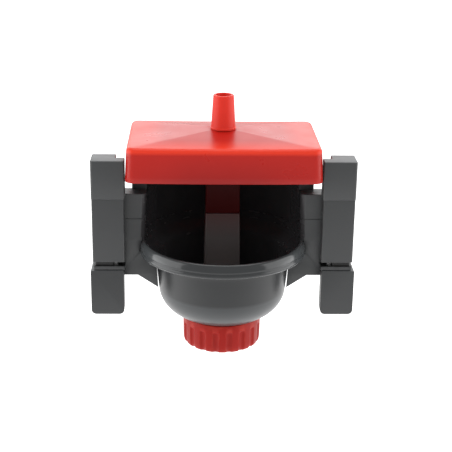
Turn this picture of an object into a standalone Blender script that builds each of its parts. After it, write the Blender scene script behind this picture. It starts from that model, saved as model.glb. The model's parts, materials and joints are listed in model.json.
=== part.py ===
"""Hose-fed float-valve drinking bowl that clamps on a cage panel.

Frame: metres, +Z up, +X to the right and +Y towards the panel that holds the bowl.
The origin is midway between the two bracket posts, on the plane of their back faces.
"""

from math import atan2, cos, pi, radians, sin, sqrt, tan

import bmesh
import bpy
from mathutils import Vector

MM = 0.001
GAP = 0.3 * MM

# Lid: a shallow four-sided roof over a skirt that widens downwards
LID_HALF_WIDTH = 59.4 * MM
LID_FRONT_Y = -20.0 * MM
LID_BACK_Y = 54.7 * MM
LID_FLARE = 0.9 * MM
LID_EDGE_Z = 58.5 * MM
LID_RISE = 4.2 * MM
LID_BOTTOM_Z = 37.1 * MM
LID_CORNER = 5.5 * MM
LID_EDGE_ROUND = 1.6 * MM
LID_WALL = 1.8 * MM
LID_HOLE_RADIUS = 6.9 * MM

# Valve column: everything on the inlet's vertical axis
INLET_Y = (LID_FRONT_Y + LID_BACK_Y) / 2
NOZZLE_TIP_Z = 83.8 * MM
NOZZLE_TIP_RADIUS = 6.45 * MM
NOZZLE_BASE_RADIUS = 7.8 * MM
NOZZLE_RING_RADIUS = 8.15 * MM
NOZZLE_RING_HEIGHT = 1.4 * MM
NOZZLE_BORE = 4.75 * MM
NOZZLE_SHANK_RADIUS = 6.2 * MM
NOZZLE_SHANK_BOTTOM_Z = 46.0 * MM
SOCKET_TOP_Z = 57.4 * MM
SOCKET_BOTTOM_Z = 9.5 * MM
SOCKET_TOP_HALF = 10.5 * MM
SOCKET_BOTTOM_HALF = 10.9 * MM
SOCKET_SHOULDER = 5.5 * MM
COLUMN_CORNER = 1.4 * MM
COLUMN_CHAMFER = 0.4 * MM
SPIGOT_RADIUS = 8.0 * MM
SPIGOT_TOP_Z = 34.0 * MM
TUBE_TOP_HALF = 11.0 * MM
TUBE_BOTTOM_HALF = 11.8 * MM
TUBE_BOTTOM_Z = -34.0 * MM
TUBE_BORE = 5.6 * MM
SEAT_BORE = 1.3 * MM
SEAT_POCKET_TOP_Z = -28.0 * MM
SEAT_POCKET_RADIUS = 7.4 * MM
FOOT_HALF = 11.8 * MM
FOOT_ROOF_HOLE = 4.0 * MM
FOOT_WALL = 2.4 * MM
FOOT_BOTTOM_Z = -46.0 * MM
FOOT_ROOF = 2.6 * MM

# Float and its lever, which hinges at the back of the valve foot
HINGE_Y = 23.6 * MM
HINGE_Z = -41.6 * MM
PIN_RADIUS = 1.2 * MM
LEVER_THICKNESS = 2.4 * MM
LEVER_WIDTH = 5.0 * MM
FLOAT_Y = -14.0 * MM
FLOAT_RADIUS = 17.6 * MM
FLOAT_BOTTOM_Z = -47.6 * MM
FLOAT_TOP_Z = -36.6 * MM
NEEDLE_RADIUS = 1.9 * MM
NEEDLE_HEIGHT = 2.15 * MM

# Body: wings, hood, collar under the lid
AXIS_Y = -0.8 * MM
HOOD_TOP_RADIUS = 48.0 * MM
HOOD_BOTTOM_RADIUS = 49.0 * MM
HOOD_WALL = 2.6 * MM
HOOD_BOTTOM_Z = -1.8 * MM
HOOD_WRAP = radians(7.5)
UPPER_HOOD_START = radians(6)
COLLAR_HALF_WIDTH = 57.1 * MM
COLLAR_FRONT_Y = 2.3 * MM
COLLAR_BACK_Y = 52.1 * MM
COLLAR_TOP_Z = 56.2 * MM
COLLAR_FRONT_CORNER = 1.5 * MM
COLLAR_BACK_CORNER = 6.0 * MM
LEDGE_Z = 26.6 * MM
LEDGE_THICKNESS = 2.5 * MM
PLATE_HALF_WIDTH = 66.0 * MM
PLATE_FRONT_Y = -7.5 * MM
PLATE_THICKNESS = 2.6 * MM
PAD_PROUD = 0.5 * MM
PAD_BOTTOM_Z = 10.9 * MM
WING_BOTTOM_Z = -27.2 * MM
WING_SLOPE_X = 53.4 * MM
WING_SLOPE = radians(33.6)
WEB_X = 54.0 * MM
WEB_HALF_THICKNESS = 1.0 * MM
WEB_BACK_Y = 12.0 * MM
WEB_TOP_Z = 16.9 * MM
WEB_BACK_BOTTOM_Z = 4.0 * MM
WEB_BOTTOM_Z = -19.2 * MM

# Bowl
RIM_INNER_RADIUS = 48.6 * MM
RIM_TOP_RADIUS = 51.2 * MM
RIM_OUTER_RADIUS = 52.9 * MM
RIM_TOP_Z = -3.9 * MM
RIM_BOTTOM_Z = -12.4 * MM
WALL_TOP_RADIUS = 42.4 * MM
CREASE_RADIUS = 40.5 * MM
BOWL_THICKNESS = 2.0 * MM
RIM_UNDERCUT = 2.2 * MM
CREASE_Z = -35.5 * MM
DOME_DEPTH = 20.7 * MM
DOME_STEPS = 8
OUTLET_RADIUS = 14.0 * MM
OUTLET_BORE = 10.4 * MM
OUTLET_BOTTOM_Z = -69.0 * MM
LUG_CIRCLE_RADIUS = 56.3 * MM
LUG_RADIUS = 5.2 * MM
LUG_ANGLES = (radians(20), radians(60), radians(120), radians(160))
LUG_TOP_Z = -3.6 * MM
LUG_THICKNESS = 4.0 * MM
BOSS_TOP_Z = 9.0 * MM
BOSS_HOLE_TOP_Z = 7.0 * MM
BOWL_SCREW_TIP_Z = 6.0 * MM
SCREW_RADIUS = 1.35 * MM
SCREW_HOLE_RADIUS = 1.7 * MM
SCREW_HEAD_RADIUS = 2.8 * MM
SCREW_HEAD_HEIGHT = 1.9 * MM

# Drain cap
CAP_RADIUS = 24.9 * MM
CAP_BOTTOM_Z = -73.8 * MM
CAP_WALL = 2.6 * MM
CAP_FLOOR = 2.5 * MM
CAP_DOME_GAP = 0.4 * MM
THREAD_GAP = 0.35 * MM
THREAD_WALL = 2.4 * MM
THREAD_HEIGHT = 7.0 * MM
FLUTE_COUNT = 18
FLUTE_DEPTH = 1.0 * MM
FLUTE_TOP_Z = -59.5 * MM

# Brackets: an L-shaped post each side, and a sliding clamp block below it
POST_INNER_X = 60.6 * MM
POST_NOTCH_X = 66.3 * MM
POST_OUTER_X = 81.2 * MM
POST_FRONT_Y = -17.0 * MM
POST_NOTCH_Y = -8.3 * MM
POST_TOP_Z = 49.9 * MM
POST_HEAD_BOTTOM_Z = 25.7 * MM
POST_BOTTOM_Z = -15.4 * MM
POST_INSET = 0.6 * MM
NECK_INSET = 0.45 * MM
TONGUE_INSET = 1.8 * MM
TONGUE_SLACK = 0.4 * MM
TONGUE_BOTTOM_Z = -42.0 * MM
BLOCK_NECK_TOP_Z = -17.9 * MM
BLOCK_TOP_Z = -20.8 * MM
BLOCK_BOTTOM_Z = -50.0 * MM
BLOCK_OUTER_X = 82.4 * MM
BLOCK_CORNER = 3.0 * MM
BLOCK_RECESS = 1.2 * MM
POST_SCREW_X = 63.4 * MM
POST_SCREW_HEIGHTS = (18.0 * MM, -6.0 * MM)
CLAMP_SCREW_RADIUS = 1.8 * MM
CLAMP_SCREW_HEAD_RADIUS = 3.6 * MM
CLAMP_SCREW_TOP_Z = -26.0 * MM

INLET_AXIS = Vector((0, INLET_Y, 0))
BOWL_AXIS = Vector((0, AXIS_Y, 0))
HINGE_AXIS = Vector((0, HINGE_Y, HINGE_Z))
ROUND = 32


# ---- materials ------------------------------------------------------------------

def plastic(name, colour, roughness, metallic=0.0):
    """A Principled material with one colour."""
    material = bpy.data.materials.new(name)
    material.use_nodes = True
    shader = material.node_tree.nodes["Principled BSDF"]
    shader.inputs["Base Color"].default_value = (*colour, 1.0)
    shader.inputs["Roughness"].default_value = roughness
    shader.inputs["Metallic"].default_value = metallic
    return material


def make_materials():
    return {
        "red": plastic("red_plastic", (0.50, 0.035, 0.022), 0.35),
        "dark": plastic("dark_plastic", (0.062, 0.062, 0.065), 0.55),
        "gloss": plastic("gloss_plastic", (0.070, 0.072, 0.075), 0.18),
        "grey": plastic("grey_plastic", (0.10, 0.09, 0.085), 0.45),
        "rubber": plastic("rubber", (0.015, 0.015, 0.015), 0.8),
        "foam": plastic("float_foam", (0.75, 0.75, 0.72), 0.7),
        "steel": plastic("stainless_steel", (0.6, 0.6, 0.6), 0.25, 1.0),
        "brass": plastic("brass", (0.7, 0.5, 0.2), 0.3, 1.0),
    }


# ---- shape helpers --------------------------------------------------------------

def finish(name, shape, material, origin):
    """Turn a bmesh in world coordinates into an object whose origin is at the given point."""
    bmesh.ops.recalc_face_normals(shape, faces=shape.faces)
    bmesh.ops.translate(shape, verts=shape.verts, vec=-Vector(origin))
    mesh = bpy.data.meshes.new(name)
    shape.to_mesh(mesh)
    shape.free()
    mesh.shade_smooth()
    mesh.set_sharp_from_angle(angle=radians(32))
    if material:
        mesh.materials.append(material)
    obj = bpy.data.objects.new(name, mesh)
    obj.location = origin
    bpy.context.scene.collection.objects.link(obj)
    return obj


def strip(shape, first, second):
    """Join two rings of vertices with faces."""
    count = len(first)
    for index in range(count):
        following = (index + 1) % count
        corners = [first[index], first[following], second[following], second[index]]
        shape.faces.new(corners)


def loft(name, sections, material, origin=(0, 0, 0), tube=False):
    """Skin closed sections in order; a tube joins the last to the first, else both ends are capped."""
    shape = bmesh.new()
    rings = [[shape.verts.new(point) for point in section] for section in sections]
    for first, second in zip(rings, rings[1:]):
        strip(shape, first, second)
    if tube:
        strip(shape, rings[-1], rings[0])
    else:
        shape.faces.new(rings[0])
        shape.faces.new(rings[-1])
    return finish(name, shape, material, origin)


def circle(radius, z, centre, count=ROUND):
    """Points of a level circle round a vertical axis."""
    angles = [2 * pi * index / count for index in range(count)]
    return [(centre[0] + radius * cos(a), centre[1] + radius * sin(a), z) for a in angles]


def turned(name, profile, centre, material, count=ROUND):
    """A ring-shaped or tubular solid: a closed (radius, z) profile turned round a vertical axis."""
    sections = [circle(radius, z, centre, count) for radius, z in profile]
    return loft(name, sections, material, centre, tube=True)


def turned_solid(name, profile, centre, material, count=ROUND):
    """A solid of revolution with flat ends, from an open (radius, z) profile."""
    sections = [circle(radius, z, centre, count) for radius, z in profile]
    return loft(name, sections, material, centre)


def turned_arc(name, profile, centre, start, end, material, count=ROUND):
    """A closed (radius, z) profile swept through part of a turn."""
    sections = []
    for index in range(count + 1):
        angle = start + (end - start) * index / count
        sections.append([(centre[0] + r * cos(angle), centre[1] + r * sin(angle), z) for r, z in profile])
    return loft(name, sections, material, centre)


def fillet(corners, steps=4):
    """Round the corners of a closed outline; each corner is (a, b, radius)."""
    points = []
    count = len(corners)
    for index, (a, b, radius) in enumerate(corners):
        if radius == 0:
            points.append((a, b))
            continue
        here = Vector((a, b))
        towards_last = (Vector(corners[index - 1][:2]) - here).normalized()
        towards_next = (Vector(corners[(index + 1) % count][:2]) - here).normalized()
        half = towards_last.angle(towards_next) / 2
        reach = radius / tan(half)
        centre = here + (towards_last + towards_next).normalized() * (radius / sin(half))
        start = here + towards_last * reach - centre
        end = here + towards_next * reach - centre
        first = atan2(start.y, start.x)
        turn = (atan2(end.y, end.x) - first + pi) % (2 * pi) - pi
        for step in range(steps + 1):
            angle = first + turn * step / steps
            points.append((centre.x + radius * cos(angle), centre.y + radius * sin(angle)))
    return points


def place(axis, a, b, level):
    """A point of an outline drawn square to an axis."""
    if axis == "X":
        return (level, a, b)
    if axis == "Y":
        return (a, level, b)
    return (a, b, level)


def prism(name, outline, axis, low, high, material=None, origin=(0, 0, 0)):
    """Extrude an outline along an axis."""
    sections = [[place(axis, a, b, level) for a, b in outline] for level in (low, high)]
    return loft(name, sections, material, origin)


def block(name, low, high, material=None, origin=(0, 0, 0)):
    """A box between two corners."""
    x = sorted((low[0], high[0]))
    outline = [(x[0], low[1]), (x[1], low[1]), (x[1], high[1]), (x[0], high[1])]
    return prism(name, outline, "Z", low[2], high[2], material, origin)


def combine(target, tool, operation):
    """Add a Boolean and keep its tool as a wire guide."""
    modifier = target.modifiers.new(tool.name, "BOOLEAN")
    modifier.operation = operation
    modifier.solver = "EXACT"
    modifier.object = tool
    tool.hide_render = True
    tool.display_type = "WIRE"


def cut(target, *tools):
    for tool in tools:
        combine(target, tool, "DIFFERENCE")


def fuse(target, *tools):
    for tool in tools:
        combine(target, tool, "UNION")


def rod(name, radius, axis, centre, low, high, material=None, origin=(0, 0, 0), count=24):
    """A plain round bar along an axis."""
    angles = [2 * pi * index / count for index in range(count)]
    outline = [(centre[0] + radius * cos(a), centre[1] + radius * sin(a)) for a in angles]
    return prism(name, outline, axis, low, high, material, origin)


def on_circle(radius, angle):
    """A plan point round the bowl's axis."""
    return (radius * cos(angle), AXIS_Y + radius * sin(angle))


# ---- lid and inlet --------------------------------------------------------------

def lid_ring(inset, z):
    """One level section of the lid, inset from the plan outline at the roof's edge."""
    half_width = LID_HALF_WIDTH - inset
    front = LID_FRONT_Y + inset
    back = LID_BACK_Y - inset
    outline = fillet([
        (half_width, front, LID_CORNER),
        (half_width, back, LID_CORNER),
        (-half_width, back, LID_CORNER),
        (-half_width, front, LID_CORNER),
    ], steps=4)
    return [(x, y, z) for x, y in outline]


def shrink(section, scale, rise):
    """A copy of a lid section, scaled towards the inlet's axis and lifted."""
    return [(x * scale, INLET_Y + (y - INLET_Y) * scale, z + rise) for x, y, z in section]


def lid_hole(edge_z):
    """The round hole in the roof's four planes, with a point for each point of a lid section."""
    half_depth = (LID_BACK_Y - LID_FRONT_Y) / 2
    hip = atan2(half_depth, LID_HALF_WIDTH)
    beyond = pi / 2 - hip
    quadrant = [0.2 * hip, 0.6 * hip, hip, hip + 0.4 * beyond, hip + 0.8 * beyond]
    corners = [(1, -1, quadrant[::-1]), (1, 1, quadrant), (-1, 1, quadrant[::-1]), (-1, -1, quadrant)]
    points = []
    for x_sign, y_sign, angles in corners:
        for angle in angles:
            x = LID_HOLE_RADIUS * cos(angle)
            y = LID_HOLE_RADIUS * sin(angle)
            down = max(x / LID_HALF_WIDTH, y / half_depth)
            points.append((x_sign * x, INLET_Y + y_sign * y, edge_z + LID_RISE * (1 - down)))
    return points


def make_lid(red):
    inner_z = LID_EDGE_Z - LID_WALL
    roof = lid_ring(LID_EDGE_ROUND, LID_EDGE_Z)
    ceiling = lid_ring(LID_WALL + 0.3 * MM, inner_z)
    crown = 0.25
    sections = [
        lid_hole(LID_EDGE_Z),
        shrink(roof, crown, LID_RISE * (1 - crown)),
        roof,
        lid_ring(LID_EDGE_ROUND * (1 - sin(pi / 4)), LID_EDGE_Z - LID_EDGE_ROUND * (1 - cos(pi / 4))),
        lid_ring(0, LID_EDGE_Z - LID_EDGE_ROUND),
        lid_ring(-LID_FLARE, LID_BOTTOM_Z),
        lid_ring(LID_WALL - LID_FLARE, LID_BOTTOM_Z),
        lid_ring(LID_WALL, inner_z - 0.3 * MM),
        ceiling,
        shrink(ceiling, crown, LID_RISE * (1 - crown)),
        lid_hole(inner_z),
    ]
    return loft("lid_cover", sections, red, INLET_AXIS, tube=True)


def make_nozzle(red):
    ring_bottom_z = LID_EDGE_Z + LID_RISE * (1 - NOZZLE_SHANK_RADIUS / LID_HALF_WIDTH)
    ring_top_z = ring_bottom_z + NOZZLE_RING_HEIGHT
    lower_bore = NOZZLE_BORE - 0.6 * MM
    profile = [
        (NOZZLE_BORE, NOZZLE_TIP_Z),
        (NOZZLE_TIP_RADIUS - 0.7 * MM, NOZZLE_TIP_Z),
        (NOZZLE_TIP_RADIUS, NOZZLE_TIP_Z - 0.8 * MM),
        (NOZZLE_BASE_RADIUS, ring_top_z),
        (NOZZLE_RING_RADIUS - 0.3 * MM, ring_top_z),
        (NOZZLE_RING_RADIUS, ring_top_z - 0.4 * MM),
        (NOZZLE_RING_RADIUS, ring_bottom_z),
        (NOZZLE_SHANK_RADIUS, ring_bottom_z),
        (NOZZLE_SHANK_RADIUS, NOZZLE_SHANK_BOTTOM_Z),
        (lower_bore, NOZZLE_SHANK_BOTTOM_Z),
        (lower_bore, ring_top_z + 4 * MM),
    ]
    return turned("inlet_nozzle", profile, INLET_AXIS, red, 28)


def make_nozzle_seal(rubber):
    top_z = LID_EDGE_Z - LID_WALL + LID_RISE * 0.7 - GAP
    bottom_z = SOCKET_TOP_Z + GAP
    inner = NOZZLE_SHANK_RADIUS + GAP
    outer = SOCKET_TOP_HALF - 0.5 * MM
    profile = [(inner, top_z), (outer, top_z), (outer, bottom_z), (inner, bottom_z)]
    return turned("nozzle_seal", profile, INLET_AXIS, rubber, 32)


def column_section(half, z):
    """A level square with rounded corners, centred on the inlet's axis."""
    outline = fillet([
        (half, INLET_Y - half, COLUMN_CORNER),
        (half, INLET_Y + half, COLUMN_CORNER),
        (-half, INLET_Y + half, COLUMN_CORNER),
        (-half, INLET_Y - half, COLUMN_CORNER),
    ], 3)
    return [(x, y, z) for x, y in outline]


def column_bore(name, radius, low, high):
    """A round cutter on the inlet's axis."""
    return rod(name, radius, "Z", (0, INLET_Y), low, high, count=ROUND)


def make_valve_socket(red):
    shoulder_z = SPIGOT_TOP_Z + SOCKET_SHOULDER
    socket = loft("valve_socket", [
        column_section(SOCKET_TOP_HALF, SOCKET_TOP_Z),
        column_section(SOCKET_BOTTOM_HALF, SOCKET_BOTTOM_Z + COLUMN_CHAMFER),
        column_section(SOCKET_BOTTOM_HALF - COLUMN_CHAMFER, SOCKET_BOTTOM_Z),
    ], red, INLET_AXIS)
    cut(socket,
        column_bore("spigot_room", SPIGOT_RADIUS + GAP, SOCKET_BOTTOM_Z - MM, shoulder_z),
        column_bore("shank_room", NOZZLE_SHANK_RADIUS + GAP, shoulder_z - MM, SOCKET_TOP_Z + MM))
    return socket


def make_strainer(steel):
    """A thimble with a flange that rests on the tube's spigot, with windows in its wall."""
    flange_bottom_z = SPIGOT_TOP_Z + GAP
    flange_top_z = flange_bottom_z + 1.0 * MM
    outer = TUBE_BORE - 0.5 * MM
    inner = outer - 0.7 * MM
    tip_z = SPIGOT_TOP_Z - 14 * MM
    profile = [
        (inner, flange_top_z),
        (SPIGOT_RADIUS - 0.4 * MM, flange_top_z),
        (SPIGOT_RADIUS - 0.4 * MM, flange_bottom_z),
        (outer, flange_bottom_z),
        (outer, tip_z),
        (1.2 * MM, tip_z),
        (1.2 * MM, tip_z + 0.7 * MM),
        (inner, tip_z + 0.7 * MM),
    ]
    strainer = turned("inlet_strainer", profile, INLET_AXIS, steel, 24)
    for index in range(2):
        low = tip_z + (3 + 5 * index) * MM
        reach = outer + 1 * MM
        across = block(f"strainer_window_x_{index}", (-reach, INLET_Y - 1.5 * MM, low),
                       (reach, INLET_Y + 1.5 * MM, low + 3 * MM))
        along = block(f"strainer_window_y_{index}", (-1.5 * MM, INLET_Y - reach, low),
                      (1.5 * MM, INLET_Y + reach, low + 3 * MM))
        cut(strainer, across, along)
    return strainer


def make_valve_tube(grey):
    """The lower part of the column: square outside, with a round spigot that enters the socket."""
    shoulder_z = SOCKET_BOTTOM_Z - GAP
    tube = loft("valve_tube", [
        column_section(TUBE_TOP_HALF - COLUMN_CHAMFER, shoulder_z),
        column_section(TUBE_TOP_HALF, shoulder_z - COLUMN_CHAMFER),
        column_section(TUBE_BOTTOM_HALF, TUBE_BOTTOM_Z),
    ], grey, INLET_AXIS)
    fuse(tube, column_bore("spigot", SPIGOT_RADIUS, shoulder_z - MM, SPIGOT_TOP_Z))
    cut(tube,
        column_bore("tube_bore", TUBE_BORE, SEAT_POCKET_TOP_Z - MM, SPIGOT_TOP_Z + MM),
        column_bore("seat_pocket", SEAT_POCKET_RADIUS, TUBE_BOTTOM_Z - MM, SEAT_POCKET_TOP_Z))
    return tube


def make_valve_seat(brass):
    """The jet that the needle closes from below."""
    top_z = SEAT_POCKET_TOP_Z - GAP
    bottom_z = TUBE_BOTTOM_Z
    outer = SEAT_POCKET_RADIUS - GAP
    nose = 2.6 * MM
    profile = [
        (SEAT_BORE, top_z),
        (outer, top_z),
        (outer, bottom_z),
        (nose, bottom_z),
        (nose - 0.8 * MM, bottom_z - 1.0 * MM),
        (SEAT_BORE, bottom_z - 1.0 * MM),
    ]
    return turned("valve_seat", profile, INLET_AXIS, brass, 32)


def make_valve_foot(grey):
    """The cage under the tube: it keeps the seat in place and carries the lever's pin."""
    roof_top_z = TUBE_BOTTOM_Z - GAP
    roof_z = roof_top_z - FOOT_ROOF
    beyond = FOOT_HALF + MM
    foot = loft("valve_foot", [
        column_section(FOOT_HALF, roof_top_z),
        column_section(FOOT_HALF, FOOT_BOTTOM_Z),
    ], grey, INLET_AXIS)
    cavity = column_bore("foot_cavity", FOOT_HALF - FOOT_WALL, FOOT_BOTTOM_Z - MM, roof_z)
    roof_hole = column_bore("foot_roof_hole", FOOT_ROOF_HOLE, roof_z - MM, roof_top_z + MM)
    slot_half = LEVER_WIDTH / 2 + 0.7 * MM
    slot = block("lever_slot", (-slot_half, INLET_Y - beyond, FOOT_BOTTOM_Z - MM),
                 (slot_half, INLET_Y, roof_z + 1.2 * MM))
    window_half = 5.0 * MM
    window = block("outlet_window", (-beyond, INLET_Y - window_half, FOOT_BOTTOM_Z + 1.6 * MM),
                   (beyond, INLET_Y + window_half, roof_z - 0.5 * MM))
    pin_hole = rod("hinge_pin_hole", PIN_RADIUS + GAP, "X", (HINGE_Y, HINGE_Z), -beyond, beyond)
    cut(foot, cavity, roof_hole, slot, window, pin_hole)
    return foot


# ---- float, lever and needle ----------------------------------------------------

def make_hinge_pin(steel):
    inside = FOOT_HALF - 0.6 * MM
    return rod("hinge_pin", PIN_RADIUS, "X", (HINGE_Y, HINGE_Z), -inside, inside, steel, HINGE_AXIS, 20)


def make_lever(grey):
    """A bar from the hinge eye forwards into the float, with a pad under the needle."""
    half = LEVER_WIDTH / 2
    front_y = FLOAT_Y - 8 * MM
    lever = block("float_lever", (-half, front_y, HINGE_Z - LEVER_THICKNESS / 2),
                  (half, HINGE_Y, HINGE_Z + LEVER_THICKNESS / 2), grey, HINGE_AXIS)
    eye = rod("lever_eye", 2.7 * MM, "X", (HINGE_Y, HINGE_Z), -half, half)
    eye_hole = rod("lever_eye_hole", PIN_RADIUS + GAP / 3, "X", (HINGE_Y, HINGE_Z), -half - MM, half + MM)
    screw_hole = rod("lever_screw_hole", SCREW_HOLE_RADIUS, "Z", (0, FLOAT_Y),
                     HINGE_Z - 3 * MM, HINGE_Z + 3 * MM)
    fuse(lever, eye)
    cut(lever, eye_hole, screw_hole)
    return lever


def make_float(foam):
    edge = 2.2 * MM
    profile = [
        (FLOAT_RADIUS - edge, FLOAT_TOP_Z),
        (FLOAT_RADIUS - edge * (1 - sin(pi / 4)), FLOAT_TOP_Z - edge * (1 - cos(pi / 4))),
        (FLOAT_RADIUS, FLOAT_TOP_Z - edge),
        (FLOAT_RADIUS, FLOAT_BOTTOM_Z + 2 * edge),
        (FLOAT_RADIUS - 2 * edge, FLOAT_BOTTOM_Z),
    ]
    sections = [circle(radius, z, (0, FLOAT_Y)) for radius, z in profile]
    body = loft("float_body", sections, foam, HINGE_AXIS)
    half = LEVER_WIDTH / 2 + GAP
    channel = block("float_channel", (-half, FLOAT_Y - 8 * MM - GAP, HINGE_Z - LEVER_THICKNESS / 2 - GAP),
                    (half, HINGE_Y, HINGE_Z + LEVER_THICKNESS / 2 + GAP))
    shaft = rod("float_screw_hole", SCREW_HOLE_RADIUS, "Z", (0, FLOAT_Y), HINGE_Z - 4 * MM, 0)
    head = rod("float_head_recess", SCREW_HEAD_RADIUS + GAP, "Z", (0, FLOAT_Y), FLOAT_TOP_Z - 1.4 * MM, 0)
    cut(body, channel, shaft, head)
    return body


def make_screw(name, axis, centre, head_level, tip_level, steel, origin=(0, 0, 0), size=1.0):
    """A pan-head screw; the tip is on the side of the head that tip_level gives."""
    towards_tip = 1 if tip_level > head_level else -1
    under_head = head_level + towards_tip * SCREW_HEAD_HEIGHT * size
    levels = [head_level, under_head - towards_tip * 0.7 * MM, under_head, under_head, tip_level]
    head = SCREW_HEAD_RADIUS * size
    shank = SCREW_RADIUS * size
    radii = [head * 0.75, head, head, shank, shank]
    angles = [2 * pi * index / 12 for index in range(12)]
    sections = []
    for level, radius in zip(levels, radii):
        sections.append([place(axis, centre[0] + radius * cos(a), centre[1] + radius * sin(a), level)
                         for a in angles])
    return loft(name, sections, steel, origin)


def make_needle(steel):
    bottom_z = HINGE_Z + LEVER_THICKNESS / 2 + GAP
    top_z = bottom_z + NEEDLE_HEIGHT
    profile = [
        (NEEDLE_RADIUS * 0.6, bottom_z),
        (NEEDLE_RADIUS, bottom_z + 0.5 * MM),
        (NEEDLE_RADIUS, top_z),
    ]
    return turned_solid("valve_needle", profile, INLET_AXIS, steel, 20)


def make_needle_seal(rubber):
    bottom_z = HINGE_Z + LEVER_THICKNESS / 2 + 2 * GAP + NEEDLE_HEIGHT
    top_z = bottom_z + 1.3 * MM
    profile = [
        (NEEDLE_RADIUS, bottom_z),
        (NEEDLE_RADIUS, bottom_z + 0.6 * MM),
        (NEEDLE_RADIUS * 0.55, top_z),
    ]
    return turned_solid("needle_seal", profile, INLET_AXIS, rubber, 20)


# ---- body shell -----------------------------------------------------------------

def bowl_outline(margin):
    """The bowl's outside as (radius, z), grown by a margin, from the rim to the outlet."""
    points = [
        (RIM_TOP_RADIUS + margin, RIM_TOP_Z + margin),
        (RIM_OUTER_RADIUS + margin, RIM_BOTTOM_Z + 0.5 * MM),
        (RIM_OUTER_RADIUS + margin, RIM_BOTTOM_Z - margin),
        (WALL_TOP_RADIUS + margin, RIM_BOTTOM_Z - RIM_UNDERCUT - margin),
    ]
    return points + dome_profile(margin)


def dome_profile(margin):
    """The bowl's bottom as (radius, z), from the crease in to the outlet."""
    spread = CREASE_RADIUS + margin - OUTLET_RADIUS
    points = []
    for index in range(DOME_STEPS + 1):
        angle = pi / 2 * index / DOME_STEPS
        points.append((OUTLET_RADIUS + spread * cos(angle), CREASE_Z - (DOME_DEPTH + margin) * sin(angle)))
    return points


def hood_profile(low_z, high_z):
    """Wall between the hollow's cone and a parallel outer face, between two heights."""
    inner = HOOD_TOP_RADIUS - MM
    spread = HOOD_BOTTOM_RADIUS - HOOD_TOP_RADIUS
    profile = [(inner, low_z), (inner, high_z)]
    for z in (high_z, low_z):
        below_ledge = max(0, LEDGE_Z - z) / (LEDGE_Z - HOOD_BOTTOM_Z)
        profile.append((HOOD_TOP_RADIUS + spread * below_ledge + HOOD_WALL, z))
    return profile


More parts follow.
